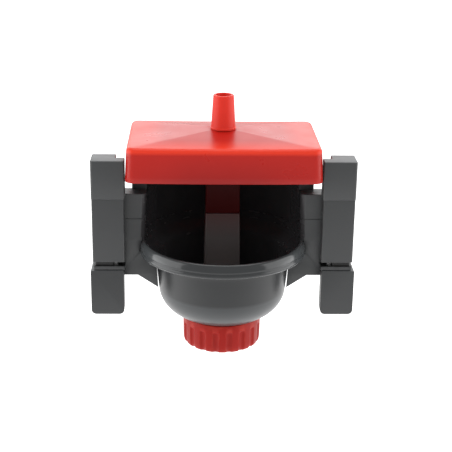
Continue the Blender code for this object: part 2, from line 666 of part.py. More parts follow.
def make_body(dark):
    inner_x = CREASE_RADIUS - 3 * MM
    slope_drop = (WING_SLOPE_X - inner_x) * tan(WING_SLOPE)
    wings = [
        (PLATE_HALF_WIDTH, LEDGE_Z),
        (PLATE_HALF_WIDTH, WING_BOTTOM_Z),
        (WING_SLOPE_X, WING_BOTTOM_Z),
        (inner_x, WING_BOTTOM_Z - slope_drop),
        (-inner_x, WING_BOTTOM_Z - slope_drop),
        (-WING_SLOPE_X, WING_BOTTOM_Z),
        (-PLATE_HALF_WIDTH, WING_BOTTOM_Z),
        (-PLATE_HALF_WIDTH, LEDGE_Z),
    ]
    plate_back_y = PLATE_FRONT_Y + PLATE_THICKNESS
    body = prism("body_shell", wings, "Y", PLATE_FRONT_Y, plate_back_y, dark)

    pad_front_y = PLATE_FRONT_Y - PAD_PROUD
    pad = block("wing_pad", (-PLATE_HALF_WIDTH, pad_front_y, PAD_BOTTOM_Z),
                (PLATE_HALF_WIDTH, plate_back_y - MM, LEDGE_Z))
    ledge = block("ledge", (-PLATE_HALF_WIDTH, pad_front_y, LEDGE_Z - LEDGE_THICKNESS),
                  (PLATE_HALF_WIDTH, COLLAR_FRONT_Y + HOOD_WALL, LEDGE_Z))
    collar = prism("collar", fillet([
        (COLLAR_HALF_WIDTH, COLLAR_FRONT_Y, COLLAR_FRONT_CORNER),
        (COLLAR_HALF_WIDTH, COLLAR_BACK_Y, COLLAR_BACK_CORNER),
        (-COLLAR_HALF_WIDTH, COLLAR_BACK_Y, COLLAR_BACK_CORNER),
        (-COLLAR_HALF_WIDTH, COLLAR_FRONT_Y, COLLAR_FRONT_CORNER),
    ]), "Z", LEDGE_Z - LEDGE_THICKNESS, COLLAR_TOP_Z)
    pocket = block("collar_pocket",
                   (-COLLAR_HALF_WIDTH + HOOD_WALL, COLLAR_FRONT_Y + HOOD_WALL, 0),
                   (COLLAR_HALF_WIDTH - HOOD_WALL, COLLAR_BACK_Y - HOOD_WALL, COLLAR_TOP_Z - HOOD_WALL))
    cut(collar, pocket)
    hood = turned_arc("hood", hood_profile(HOOD_BOTTOM_Z, LEDGE_Z - MM), BOWL_AXIS,
                      -HOOD_WRAP, pi + HOOD_WRAP, None)
    upper = turned_arc("upper_hood", hood_profile(LEDGE_Z - 2 * MM, COLLAR_TOP_Z - HOOD_WALL / 2),
                       BOWL_AXIS, UPPER_HOOD_START, pi - UPPER_HOOD_START, None)
    fuse(body, pad, ledge, collar, hood, upper)

    for index, angle in enumerate(LUG_ANGLES):
        centre = on_circle(LUG_CIRCLE_RADIUS, angle)
        boss = rod(f"boss_{index}", LUG_RADIUS, "Z", centre, LUG_TOP_Z + GAP, BOSS_TOP_Z)
        fuse(body, boss)
    for side in (-1, 1):
        web = prism(f"web_{side}", [
            (plate_back_y - MM, WEB_TOP_Z),
            (plate_back_y - MM, WEB_BOTTOM_Z),
            (plate_back_y + MM, WEB_BOTTOM_Z),
            (WEB_BACK_Y, WEB_BACK_BOTTOM_Z),
            (WEB_BACK_Y, WEB_TOP_Z),
        ], "X", side * WEB_X - WEB_HALF_THICKNESS, side * WEB_X + WEB_HALF_THICKNESS)
        fuse(body, web)

    hollow = turned_solid("hollow", [
        (HOOD_TOP_RADIUS, COLLAR_TOP_Z + 5 * MM),
        (HOOD_TOP_RADIUS, LEDGE_Z),
        (HOOD_BOTTOM_RADIUS, HOOD_BOTTOM_Z),
        (HOOD_BOTTOM_RADIUS, HOOD_BOTTOM_Z - 4 * MM),
    ], BOWL_AXIS, None)
    seat = turned_solid("bowl_space", [(RIM_TOP_RADIUS + 2 * GAP, HOOD_BOTTOM_Z)] + bowl_outline(2 * GAP),
                        BOWL_AXIS, None)
    cut(body, hollow, seat)
    for index, angle in enumerate(LUG_ANGLES):
        hole = rod(f"boss_hole_{index}", SCREW_HOLE_RADIUS, "Z", on_circle(LUG_CIRCLE_RADIUS, angle),
                   LUG_TOP_Z - MM, BOSS_HOLE_TOP_Z, count=16)
        cut(body, hole)
    for side in (-1, 1):
        for index, z in enumerate(POST_SCREW_HEIGHTS):
            hole = rod(f"plate_hole_{side}_{index}", SCREW_HOLE_RADIUS, "Y", (side * POST_SCREW_X, z),
                       pad_front_y - MM, plate_back_y + MM, count=16)
            cut(body, hole)
    return body


# ---- bowl and drain -------------------------------------------------------------

def make_bowl(gloss):
    lip = 1.2 * MM
    shoulder_z = RIM_BOTTOM_Z - RIM_UNDERCUT
    across = WALL_TOP_RADIUS - BOWL_THICKNESS
    floor_z = CREASE_Z - DOME_DEPTH + BOWL_THICKNESS
    profile = [
        (RIM_INNER_RADIUS, RIM_TOP_Z - 0.6 * MM),
        (RIM_INNER_RADIUS + 0.6 * MM, RIM_TOP_Z),
        (RIM_TOP_RADIUS - lip, RIM_TOP_Z),
        (RIM_TOP_RADIUS - lip * (1 - sin(pi / 4)), RIM_TOP_Z - lip * (1 - cos(pi / 4))),
        (RIM_TOP_RADIUS, RIM_TOP_Z - lip),
        (RIM_OUTER_RADIUS, RIM_BOTTOM_Z + 0.5 * MM),
        (RIM_OUTER_RADIUS - 0.5 * MM, RIM_BOTTOM_Z),
        (WALL_TOP_RADIUS + 2.5 * MM, RIM_BOTTOM_Z),
        (WALL_TOP_RADIUS, shoulder_z),
    ]
    profile += dome_profile(0)
    profile += [
        (OUTLET_RADIUS, OUTLET_BOTTOM_Z),
        (OUTLET_BORE, OUTLET_BOTTOM_Z),
        (OUTLET_BORE, floor_z),
    ]
    profile += reversed(dome_profile(-BOWL_THICKNESS))
    profile += [
        (across, shoulder_z - 0.5 * MM),
        (across + 1.5 * MM, RIM_BOTTOM_Z + 0.6 * MM),
        (RIM_INNER_RADIUS - 1.0 * MM, RIM_BOTTOM_Z + 4.2 * MM),
    ]
    bowl = turned("bowl", profile, BOWL_AXIS, gloss, 48)
    for index, angle in enumerate(LUG_ANGLES):
        centre = on_circle(LUG_CIRCLE_RADIUS, angle)
        lug = rod(f"lug_{index}", LUG_RADIUS, "Z", centre, LUG_TOP_Z - LUG_THICKNESS, LUG_TOP_Z)
        fuse(bowl, lug)
    for index, angle in enumerate(LUG_ANGLES):
        hole = rod(f"lug_hole_{index}", SCREW_HOLE_RADIUS, "Z", on_circle(LUG_CIRCLE_RADIUS, angle),
                   LUG_TOP_Z - LUG_THICKNESS - MM, LUG_TOP_Z + MM, count=16)
        cut(bowl, hole)
    return bowl


def make_bowl_gasket(rubber):
    low = RIM_TOP_Z + GAP
    high = HOOD_BOTTOM_Z - GAP
    inner = RIM_INNER_RADIUS + 0.8 * MM
    outer = RIM_TOP_RADIUS - 0.6 * MM
    profile = [(inner, low), (outer, low), (outer, high), (inner, high)]
    reach = radians(3)
    return turned_arc("bowl_gasket", profile, BOWL_AXIS, -reach, pi + reach, rubber, 28)


def cap_ring(radius, z, flute=0.0):
    """A section of the cap; the flutes are shallow scallops between flat lands."""
    count = FLUTE_COUNT * 4
    points = []
    for index in range(count):
        angle = 2 * pi * index / count
        wave = max(0.0, cos(FLUTE_COUNT * angle))
        reach = radius - flute * wave
        points.append((reach * cos(angle), AXIS_Y + reach * sin(angle), z))
    return points


def dome_z(radius):
    """Height of the bowl's underside at a radius."""
    across = (radius - OUTLET_RADIUS) / (CREASE_RADIUS - OUTLET_RADIUS)
    return CREASE_Z - DOME_DEPTH * sqrt(1 - across ** 2)


def make_drain_cap(red):
    """A fluted cup round a threaded inner collar that screws on the bowl's outlet."""
    inner = CAP_RADIUS - CAP_WALL
    floor_z = CAP_BOTTOM_Z + CAP_FLOOR
    thread = OUTLET_RADIUS + THREAD_GAP
    collar = thread + THREAD_WALL
    collar_top_z = floor_z + THREAD_HEIGHT
    outer_top_z = dome_z(CAP_RADIUS) - CAP_DOME_GAP
    inner_top_z = dome_z(inner) - CAP_DOME_GAP
    sections = [
        cap_ring(inner, inner_top_z),
        cap_ring(CAP_RADIUS, outer_top_z),
        cap_ring(CAP_RADIUS, FLUTE_TOP_Z),
        cap_ring(CAP_RADIUS, FLUTE_TOP_Z - 0.8 * MM, FLUTE_DEPTH),
        cap_ring(CAP_RADIUS - 0.2 * MM, CAP_BOTTOM_Z + 2 * MM, FLUTE_DEPTH),
        cap_ring(CAP_RADIUS - 0.8 * MM, CAP_BOTTOM_Z + 0.6 * MM, FLUTE_DEPTH),
        cap_ring(CAP_RADIUS - 2.2 * MM, CAP_BOTTOM_Z),
        cap_ring(4 * MM, CAP_BOTTOM_Z),
    ]
    inside = [
        cap_ring(4 * MM, floor_z),
        cap_ring(thread, floor_z),
        cap_ring(thread, collar_top_z),
        cap_ring(collar, collar_top_z),
        cap_ring(collar, floor_z),
        cap_ring(inner, floor_z),
    ]
    shape = bmesh.new()
    rings = [[shape.verts.new(point) for point in section] for section in sections]
    pocket = [[shape.verts.new(point) for point in section] for section in inside]
    for first, second in zip(rings, rings[1:]):
        strip(shape, first, second)
    for first, second in zip(pocket, pocket[1:]):
        strip(shape, first, second)
    strip(shape, pocket[-1], rings[0])
    shape.faces.new(rings[-1])
    shape.faces.new(pocket[0])
    return finish("drain_cap", shape, red, BOWL_AXIS)


def make_drain_gasket(rubber):
    low = CAP_BOTTOM_Z + CAP_FLOOR + GAP
    high = OUTLET_BOTTOM_Z - GAP
    profile = [(OUTLET_BORE, low), (OUTLET_RADIUS - 0.3 * MM, low), (OUTLET_RADIUS - 0.3 * MM, high),
               (OUTLET_BORE, high)]
    return turned("drain_gasket", profile, BOWL_AXIS, rubber, 28)


# ---- brackets -------------------------------------------------------------------

def l_plan(side, inset, outer_x):
    """Plan of a post: thick outside, thinner where it covers the wing's edge."""
    corner = 1.0 * MM
    notch = POST_NOTCH_X + inset
    return fillet([
        (side * (POST_INNER_X + inset), POST_FRONT_Y + inset, corner),
        (side * (outer_x - inset), POST_FRONT_Y + inset, corner * 1.6),
        (side * (outer_x - inset), -inset, corner),
        (side * notch, -inset, 0),
        (side * notch, POST_NOTCH_Y - inset, 0),
        (side * (POST_INNER_X + inset), POST_NOTCH_Y - inset, 0),
    ], 3)


def make_post(label, side, dark):
    origin = (side * (POST_NOTCH_X + POST_OUTER_X) / 2, 0, 0)
    post = prism(f"bracket_post_{label}", l_plan(side, 0, POST_OUTER_X), "Z",
                 POST_HEAD_BOTTOM_Z, POST_TOP_Z, dark, origin)
    shaft = prism(f"post_shaft_{label}", l_plan(side, POST_INSET, POST_OUTER_X + 0.4 * MM), "Z",
                  POST_BOTTOM_Z, POST_HEAD_BOTTOM_Z + MM)
    tongue_x = (POST_NOTCH_X + TONGUE_INSET, POST_OUTER_X - TONGUE_INSET)
    tongue = block(f"tongue_{label}",
                   (side * tongue_x[0], POST_FRONT_Y + TONGUE_INSET, TONGUE_BOTTOM_Z),
                   (side * tongue_x[1], -TONGUE_INSET, POST_BOTTOM_Z + MM))
    fuse(post, shaft, tongue)
    for index, z in enumerate(POST_SCREW_HEIGHTS):
        hole = rod(f"post_hole_{label}_{index}", SCREW_HOLE_RADIUS, "Y", (side * POST_SCREW_X, z),
                   POST_NOTCH_Y - 5.5 * MM, POST_NOTCH_Y + MM, count=16)
        cut(post, hole)
    centre = clamp_axis(side)
    bore = rod(f"tongue_bore_{label}", CLAMP_SCREW_RADIUS + 0.4 * MM, "Z", centre,
               TONGUE_BOTTOM_Z - MM, CLAMP_SCREW_TOP_Z + 7 * MM, count=16)
    cut(post, bore)
    return post


def clamp_axis(side):
    """Plan point of the clamp screw, in the middle of the tongue."""
    return (side * (POST_NOTCH_X + POST_OUTER_X) / 2, POST_FRONT_Y / 2)


def make_block(label, side, dark):
    """The sliding clamp block round the post's tongue, with rounded bottom corners."""
    origin = (side * (POST_NOTCH_X + POST_OUTER_X) / 2, POST_FRONT_Y / 2, 0)
    inner_x = side * (POST_INNER_X + BLOCK_RECESS)
    outer_x = side * BLOCK_OUTER_X
    front = fillet([
        (inner_x, BLOCK_TOP_Z, 0.6 * MM),
        (outer_x, BLOCK_TOP_Z, 0.6 * MM),
        (outer_x, BLOCK_BOTTOM_Z, BLOCK_CORNER),
        (inner_x, BLOCK_BOTTOM_Z, BLOCK_CORNER),
    ], 4)
    clamp = prism(f"clamp_block_{label}", front, "Y", POST_FRONT_Y, 0, dark, origin)
    neck = prism(f"block_neck_{label}", l_plan(side, NECK_INSET, POST_OUTER_X), "Z",
                 BLOCK_TOP_Z - MM, BLOCK_NECK_TOP_Z)
    fuse(clamp, neck)
    wing_room = block(f"wing_room_{label}", (side * POST_INNER_X, POST_NOTCH_Y, BLOCK_BOTTOM_Z - MM),
                      (side * POST_NOTCH_X, MM, BLOCK_TOP_Z + MM))
    room = TONGUE_INSET - TONGUE_SLACK
    tongue_x = (POST_NOTCH_X + room, POST_OUTER_X - room)
    socket = block(f"block_socket_{label}",
                   (side * tongue_x[0], POST_FRONT_Y + room, TONGUE_BOTTOM_Z - 3.5 * MM),
                   (side * tongue_x[1], -room, BLOCK_NECK_TOP_Z + MM))
    screw_hole = rod(f"clamp_hole_{label}", CLAMP_SCREW_RADIUS + 0.35 * MM, "Z", clamp_axis(side),
                     BLOCK_BOTTOM_Z - MM, TONGUE_BOTTOM_Z, count=20)
    counterbore = rod(f"counterbore_{label}", CLAMP_SCREW_HEAD_RADIUS + 0.5 * MM, "Z", clamp_axis(side),
                      BLOCK_BOTTOM_Z - MM, BLOCK_BOTTOM_Z + 2.6 * MM, count=20)
    cut(clamp, wing_room, socket, screw_hole, counterbore)
    return clamp


def make_brackets(materials):
    for label, side in (("left", -1), ("right", 1)):
        make_post(label, side, materials["dark"])
        make_block(label, side, materials["dark"])
        size = CLAMP_SCREW_HEAD_RADIUS / SCREW_HEAD_RADIUS
        centre = clamp_axis(side)
        make_screw(f"clamp_screw_{label}", "Z", centre, BLOCK_BOTTOM_Z - 0.2 * MM, CLAMP_SCREW_TOP_Z,
                   materials["steel"], (*centre, 0), size)
        plate_back_y = PLATE_FRONT_Y + PLATE_THICKNESS
        for name, z in zip(("upper", "lower"), POST_SCREW_HEIGHTS):
            head_y = plate_back_y + GAP + SCREW_HEAD_HEIGHT
            make_screw(f"post_screw_{label}_{name}", "Y", (side * POST_SCREW_X, z), head_y,
                       POST_NOTCH_Y - 4.8 * MM, materials["steel"])


# ---- assembly -------------------------------------------------------------------

def clear_scene():
    for obj in list(bpy.data.objects):
        bpy.data.objects.remove(obj, do_unlink=True)


def main():
    clear_scene()
    materials = make_materials()
    make_lid(materials["red"])
    make_nozzle(materials["red"])
    make_nozzle_seal(materials["rubber"])
    make_valve_socket(materials["red"])
    make_strainer(materials["steel"])
    make_valve_tube(materials["grey"])
    make_valve_seat(materials["brass"])
    make_valve_foot(materials["grey"])
    make_hinge_pin(materials["steel"])
    make_lever(materials["grey"])
    make_float(materials["foam"])
    make_screw("float_screw", "Z", (0, FLOAT_Y), FLOAT_TOP_Z + 0.6 * MM, HINGE_Z - 3.6 * MM,
               materials["steel"], HINGE_AXIS)
    make_needle(materials["steel"])
    make_needle_seal(materials["rubber"])
    make_body(materials["dark"])
    make_bowl(materials["gloss"])
    make_bowl_gasket(materials["rubber"])
    for index, angle in enumerate(LUG_ANGLES):
        head_z = LUG_TOP_Z - LUG_THICKNESS - GAP - SCREW_HEAD_HEIGHT
        make_screw(f"bowl_screw_{index + 1}", "Z", on_circle(LUG_CIRCLE_RADIUS, angle),
                   head_z, BOWL_SCREW_TIP_Z, materials["steel"])
    make_drain_cap(materials["red"])
    make_drain_gasket(materials["rubber"])
    make_brackets(materials)


main()
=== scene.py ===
"""Looks of a hose-fed float-valve drinking bowl that clamps on a cage panel.

Frame: metres, +Z up, +X to the right, +Y towards the panel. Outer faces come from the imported
model's boxes, and the features between them repeat the part's own dimensions.
"""

import json
from math import atan2, cos, pi, radians, sin, sqrt, tan

import bmesh
import bpy
from mathutils import Matrix, Vector


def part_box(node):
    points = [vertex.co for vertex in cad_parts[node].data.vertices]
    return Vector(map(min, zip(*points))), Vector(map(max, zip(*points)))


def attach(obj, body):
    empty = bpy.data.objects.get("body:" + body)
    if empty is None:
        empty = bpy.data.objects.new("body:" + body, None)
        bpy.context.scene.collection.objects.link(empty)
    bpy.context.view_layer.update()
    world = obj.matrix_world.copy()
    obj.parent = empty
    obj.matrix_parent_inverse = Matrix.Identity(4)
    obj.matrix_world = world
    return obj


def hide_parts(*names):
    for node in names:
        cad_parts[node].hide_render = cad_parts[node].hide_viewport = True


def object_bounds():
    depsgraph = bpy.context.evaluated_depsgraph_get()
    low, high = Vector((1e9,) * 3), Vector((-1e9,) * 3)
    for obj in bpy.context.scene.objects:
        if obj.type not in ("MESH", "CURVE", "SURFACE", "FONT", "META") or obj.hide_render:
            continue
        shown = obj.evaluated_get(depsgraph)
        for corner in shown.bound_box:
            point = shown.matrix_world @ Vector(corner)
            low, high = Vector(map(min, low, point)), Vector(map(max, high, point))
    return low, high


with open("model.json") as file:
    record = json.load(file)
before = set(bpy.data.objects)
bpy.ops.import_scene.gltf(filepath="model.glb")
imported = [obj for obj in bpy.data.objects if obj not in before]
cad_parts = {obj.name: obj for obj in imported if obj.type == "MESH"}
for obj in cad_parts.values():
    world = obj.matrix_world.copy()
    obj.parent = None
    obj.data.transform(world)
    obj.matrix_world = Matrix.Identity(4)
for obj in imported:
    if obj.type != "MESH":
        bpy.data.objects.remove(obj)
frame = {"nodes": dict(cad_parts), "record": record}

CAD_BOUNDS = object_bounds()
MM = 0.001


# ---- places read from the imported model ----

def low(node):
    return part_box(node)[0]


def high(node):
    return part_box(node)[1]


def centre(node):
    return (low(node) + high(node)) / 2


INLET = Vector((0, centre("inlet_nozzle").y, 0))
BOWL_AXIS = Vector((0, centre("drain_cap").y, 0))
PLATE_FRONT_Y = low("body_shell").y + 0.5 * MM
PLATE_BACK_Y = PLATE_FRONT_Y + 2.6 * MM
PLATE_HALF_WIDTH = high("body_shell").x
PAD_PROUD = 0.5 * MM
PAD_BOTTOM_Z = 10.9 * MM
LEDGE_Z = 26.6 * MM
COLLAR_TOP_Z = high("body_shell").z
COLLAR_BACK_Y = high("body_shell").y - 0.06 * MM
COLLAR_HALF_WIDTH = 57.1 * MM
COLLAR_FRONT_Y = 2.3 * MM
HOOD_TOP_RADIUS = 48.0 * MM
HOOD_BOTTOM_RADIUS = 49.0 * MM
HOOD_WALL = 2.6 * MM
HOOD_BOTTOM_Z = -1.8 * MM
WING_BOTTOM_Z = -27.2 * MM
WING_SLOPE_X = 53.4 * MM
WING_SLOPE = radians(33.6)
RIM_TOP_Z = -3.9 * MM
RIM_BOTTOM_Z = -12.4 * MM
THROAT_Z = RIM_TOP_Z + 0.12 * MM
MOUTH_ROUND = 3.6 * MM
RIM_OUTER_RADIUS = 52.9 * MM
WALL_TOP_RADIUS = 42.4 * MM
WALL_TOP_Z = -15.0 * MM
CREASE_RADIUS = 40.5 * MM
CREASE_Z = -35.5 * MM
DOME_DEPTH = 20.7 * MM
OUTLET_RADIUS = 14.0 * MM
OUTLET_BORE = 10.4 * MM
OUTLET_BOTTOM_Z = low("bowl").z
LUG_CIRCLE = 56.3 * MM
LUG_RADIUS = 5.2 * MM
LUG_TOP_Z = -3.6 * MM
LUG_ANGLES = (radians(20), radians(60), radians(120), radians(160))


# ---- mesh helpers ----

def share(value, start, end):
    """How far a value has gone from start to end, from 0 to 1."""
    return max(0.0, min(1.0, (value - start) / (end - start)))


def mark_edges(mesh):
    """A value per face corner, up to 1 on the narrow faces along convex edges, for wear in the materials."""
    blunt, sharp = radians(9), radians(25)
    narrowest, widest = 1.2 * MM, 2.2 * MM
    shape = bmesh.new()
    shape.from_mesh(mesh)
    values = [0.0] * len(shape.verts)
    for edge in shape.edges:
        angle = edge.calc_face_angle_signed(0.0)
        value = share(angle, blunt, sharp)
        for vert in edge.verts:
            values[vert.index] = max(values[vert.index], value)
    corners = []
    for face in shape.faces:
        width = 2 * face.calc_area() / max(face.calc_perimeter(), 1e-9)
        narrow = share(width, widest, narrowest)
        corners += [values[vert.index] * narrow for vert in face.verts]
    shape.free()
    layer = mesh.attributes.new("edge", "FLOAT", "CORNER")
    layer.data.foreach_set("value", corners)


def add_object(name, data):
    """Put a mesh, light or camera in the scene."""
    thing = bpy.data.objects.new(name, data)
    bpy.context.scene.collection.objects.link(thing)
    return thing


def add_mesh(name, shape):
    """Turn a bmesh into an object in the scene."""
    mesh = bpy.data.meshes.new(name)
    shape.to_mesh(mesh)
    shape.free()
    return add_object(name, mesh)


def finish(name, shape, body, slot, nodes=(), bevel=0.0, smooth=35, look=None):
    """Turn a bmesh into a piece that rides on a body and stands for CAD nodes; it looks like its slot."""
    bmesh.ops.recalc_face_normals(shape, faces=shape.faces)
    piece = add_mesh(name, shape)
    if bevel:
        round_edges(piece, bevel)
    piece.data.shade_smooth()
    piece.data.set_sharp_from_angle(angle=radians(smooth))
    mark_edges(piece.data)
    piece.data.materials.clear()
    piece.data.materials.append(LOOKS[look or slot])
    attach(piece, body)
    for node in nodes:
        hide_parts(node)
    return piece


def round_edges(piece, width):
    """Bevel the piece's sharp edges for good."""
    modifier = piece.modifiers.new("round_edges", "BEVEL")
    modifier.width = width
    modifier.segments = 3
    modifier.limit_method = "ANGLE"
    modifier.angle_limit = radians(32)
    graph = bpy.context.evaluated_depsgraph_get()
    mesh = bpy.data.meshes.new_from_object(piece.evaluated_get(graph))
    piece.modifiers.clear()
    old = piece.data
    piece.data = mesh
    bpy.data.meshes.remove(old)
    mesh.name = piece.name


def strip(shape, first, second):
    """Join two rings of vertices with a band of faces."""
    count = len(first)
    for index in range(count):
        following = (index + 1) % count
        shape.faces.new([first[index], first[following], second[following], second[index]])


def skin(sections, tube=False):
    """A bmesh through closed sections in order."""
    shape = bmesh.new()
    rings = [[shape.verts.new(point) for point in section] for section in sections]
    for first, second in zip(rings, rings[1:]):
        strip(shape, first, second)
    if tube:
        strip(shape, rings[-1], rings[0])
    else:
        shape.faces.new(rings[0])
        shape.faces.new(rings[-1])
    return shape


def fillet(corners, steps=5):
    """Round the corners of a closed outline; each corner is (a, b, radius)."""
    points = []
    count = len(corners)
    for index, (a, b, radius) in enumerate(corners):
        if radius == 0:
            points.append((a, b))
            continue
        here = Vector((a, b))
        back = (Vector(corners[index - 1][:2]) - here).normalized()
        ahead = (Vector(corners[(index + 1) % count][:2]) - here).normalized()
        half = back.angle(ahead) / 2
        reach = radius / tan(half)
        middle = here + (back + ahead).normalized() * (radius / sin(half))
        start = here + back * reach - middle
        end = here + ahead * reach - middle
        first = atan2(start.y, start.x)
        turn = (atan2(end.y, end.x) - first + pi) % (2 * pi) - pi
        for step in range(steps + 1):
            angle = first + turn * step / steps
            points.append((middle.x + radius * cos(angle), middle.y + radius * sin(angle)))
    return points


def turned(profile, axis, count):
    """A closed (radius, z) profile turned round a vertical axis."""
    angles = [2 * pi * index / count for index in range(count)]
    rings = [[(axis.x + r * cos(a), axis.y + r * sin(a), z) for a in angles] for r, z in profile]
    return skin(rings, tube=True)


def bowl_arc(radius, start, end, steps):
    """Sharp corners of an outline along a circle round the bowl's axis, as (x, y, 0)."""
    angles = [start + (end - start) * index / steps for index in range(steps + 1)]
    return [(radius * cos(a), BOWL_AXIS.y + radius * sin(a), 0) for a in angles]


def swept_back(profile, start):
    """A closed (radius, z) profile swept behind the bowl's axis, from an angle to its mirror."""
    paths = [[(x, y, z) for x, y, _ in bowl_arc(radius, start, pi - start, 96)] for radius, z in profile]
    return skin(list(zip(*paths)))


def mirrored(corners):
    """The same corners on the other side, in reverse order."""
    return [(-x, y, radius) for x, y, radius in reversed(corners)]


def prism(outline, axis, first, last):
    """Extrude an outline along an axis."""
    def place(a, b, level):
        return {"X": (level, a, b), "Y": (a, level, b), "Z": (a, b, level)}[axis]
    return skin([[place(a, b, level) for a, b in outline] for level in (first, last)])


def merge(target, other):
    """Add one bmesh's faces to another."""
    mesh = bpy.data.meshes.new("part")
    other.to_mesh(mesh)
    other.free()
    target.from_mesh(mesh)
    bpy.data.meshes.remove(mesh)


def lug_ring(corners):
    """The same turned shape at each lug's place round the bowl."""
    shape = bmesh.new()
    for angle in LUG_ANGLES:
        axis = Vector((LUG_CIRCLE * cos(angle), BOWL_AXIS.y + LUG_CIRCLE * sin(angle), 0))
        merge(shape, turned(fillet(corners, 4), axis, 40))
    return shape


# ---- materials ----

LOOKS = {}  # every material by name; most names are slots


class Shader:
    """Small helper that builds a node material and adds it to LOOKS."""

    def __init__(self, name):
        material = LOOKS[name] = bpy.data.materials.new(name)
        material.use_nodes = True
        self.tree = material.node_tree
        self.surface = self.tree.nodes["Principled BSDF"]
        self.place = self.add("ShaderNodeTexCoord").outputs["Object"]

    def add(self, kind, settings=(), **inputs):
        """A new node; its inputs take numbers, colours or other nodes' outputs."""
        node = self.tree.nodes.new(kind)
        for key, value in settings:
            setattr(node, key, value)
        self.fill(node, **inputs)
        return node

    def fill(self, node, **inputs):
        """Plug values into a node's inputs by name, with _ for a space."""
        for key, value in inputs.items():
            self.plug(node.inputs[key.replace("_", " ")], value)

    def plug(self, socket, value):
        if isinstance(value, bpy.types.NodeSocket):
            self.tree.links.new(value, socket)
        elif socket.type == "RGBA":
            socket.default_value = (*value, 1.0)
        else:
            socket.default_value = value

    def mapped(self, scale, turn=(0, 0, 0)):
        return self.add("ShaderNodeMapping", Vector=self.place, Scale=scale, Rotation=turn).outputs["Vector"]

    def noise(self, scale, detail=3.0, rough=0.55, vector=None, distortion=0.0):
        node = self.add("ShaderNodeTexNoise", Vector=vector or self.place, Scale=scale, Detail=detail,
                        Roughness=rough, Distortion=distortion)
        return node.outputs["Fac"]

    def span(self, value, start, end, low_value=0.0, high_value=1.0):
        """Map start to low_value and end to high_value, clamped outside."""
        node = self.add("ShaderNodeMapRange")
        for socket, number in zip(node.inputs[:5], (value, start, end, low_value, high_value)):
            self.plug(socket, number)
        return node.outputs["Result"]

    def math(self, operation, a, b):
        node = self.add("ShaderNodeMath", [("operation", operation)])
        self.plug(node.inputs[0], a)
        self.plug(node.inputs[1], b)
        return node.outputs["Value"]

    def mix(self, factor, a, b):
        node = self.add("ShaderNodeMix", [("data_type", "RGBA")], Factor=factor)
        self.plug(node.inputs[6], a)
        self.plug(node.inputs[7], b)
        return node.outputs[2]

    def along(self, letter):
        """The place along one object axis, in metres."""
        return self.add("ShaderNodeSeparateXYZ", Vector=self.place).outputs[letter]

    def upness(self):
        """1 where a surface faces up, 0 on a wall and -1 underneath."""
        geometry = self.add("ShaderNodeNewGeometry")
        return self.add("ShaderNodeSeparateXYZ", Vector=geometry.outputs["Normal"]).outputs["Z"]

    def bump(self, height, strength, distance, normal=None):
        node = self.add("ShaderNodeBump", Height=height, Strength=strength, Distance=distance)
        if normal is not None:
            self.fill(node, Normal=normal)
        return node.outputs["Normal"]

    def scratches(self):
        """Sparse fine lines in two directions, 0 to 1."""
        total = None
        for turn, scale in (((0.5, 0.2, 0.4), (60, 2600, 2600)), ((1.3, 0.9, 2.1), (90, 3400, 3400))):
            lines = self.noise(1.0, 2.0, 0.5, self.mapped(scale, turn))
            line = self.span(lines, 0.68, 0.72)
            patch = self.span(self.noise(55.0 + scale[0], 2.0), 0.52, 0.62)
            drawn = self.math("MULTIPLY", line, patch)
            total = drawn if total is None else self.math("MAXIMUM", total, drawn)
        return total

    def set(self, **inputs):
        self.fill(self.surface, **inputs)


def shade(colour, factor):
    """A darker or lighter colour."""
    return tuple(min(1.0, channel * factor) for channel in colour)


def moulded(name, colour, roughness, mottle, wear, grain=0.0, grain_scale=2600.0, wave=0.0,
            worn=None, dust=0.0, scratch=0.0, shine=0.5, spread=0.06, tint=None, crisp=None):
    """Injection-moulded plastic: flow mottling, fine texture, rubbed edges, settled dust and faint scratches.

    grain and wave are bump heights in metres; crisp is (z, z, factor, factor) for roughness along the height.
    """
    s = Shader(name)
    flow = s.noise(26.0, 3.0, 0.5, distortion=0.3)
    base = s.mix(s.span(flow, 0.35, 0.68), shade(colour, 1 - mottle), shade(colour, 1 + mottle))
    speck = s.noise(520.0, 3.0, 0.6)
    base = s.mix(s.span(speck, 0.45, 0.75, 0.0, 0.35), base, shade(colour, 1 - 1.6 * mottle))
    if tint:
        base = tint(s, base)
    edge = s.add("ShaderNodeAttribute", [("attribute_name", "edge")]).outputs["Fac"]
    rubbed = s.math("MULTIPLY", edge, s.span(s.noise(210.0, 4.0), 0.38, 0.66))
    base = s.mix(s.math("MULTIPLY", rubbed, wear), base, worn or shade(colour, 1.8))
    rough = s.span(s.noise(55.0, 3.0, 0.5), 0.25, 0.75, roughness - spread, roughness + spread)
    rough = s.math("ADD", rough, s.math("MULTIPLY", rubbed, 0.12))
    normal = None
    if wave:
        normal = s.bump(s.noise(38.0, 2.0), 1.0, wave)
    if grain:
        normal = s.bump(s.noise(grain_scale, 3.0, 0.6), 1.0, grain, normal)
    if scratch:
        lines = s.scratches()
        rough = s.math("ADD", rough, s.math("MULTIPLY", lines, 0.22 * scratch))
        normal = s.bump(lines, 0.25 * scratch, -0.00002, normal)
        base = s.mix(s.math("MULTIPLY", lines, 0.25 * scratch), base, shade(colour, 1.9))
    if dust:
        settled = s.math("MULTIPLY", s.span(s.upness(), 0.55, 0.95), s.span(s.noise(900.0), 0.48, 0.7))
        patchy = s.math("MULTIPLY", settled, s.span(s.noise(45.0), 0.3, 0.75))
        base = s.mix(s.math("MULTIPLY", patchy, dust), base, (0.4, 0.42, 0.43))
        rough = s.math("ADD", rough, s.math("MULTIPLY", patchy, dust * 0.6))
    if crisp:
        rough = s.math("MULTIPLY", rough, s.span(s.along("Z"), *crisp))
    s.set(Base_Color=base, Roughness=rough, Specular_IOR_Level=shine)
    if normal is not None:
        s.set(Normal=normal)


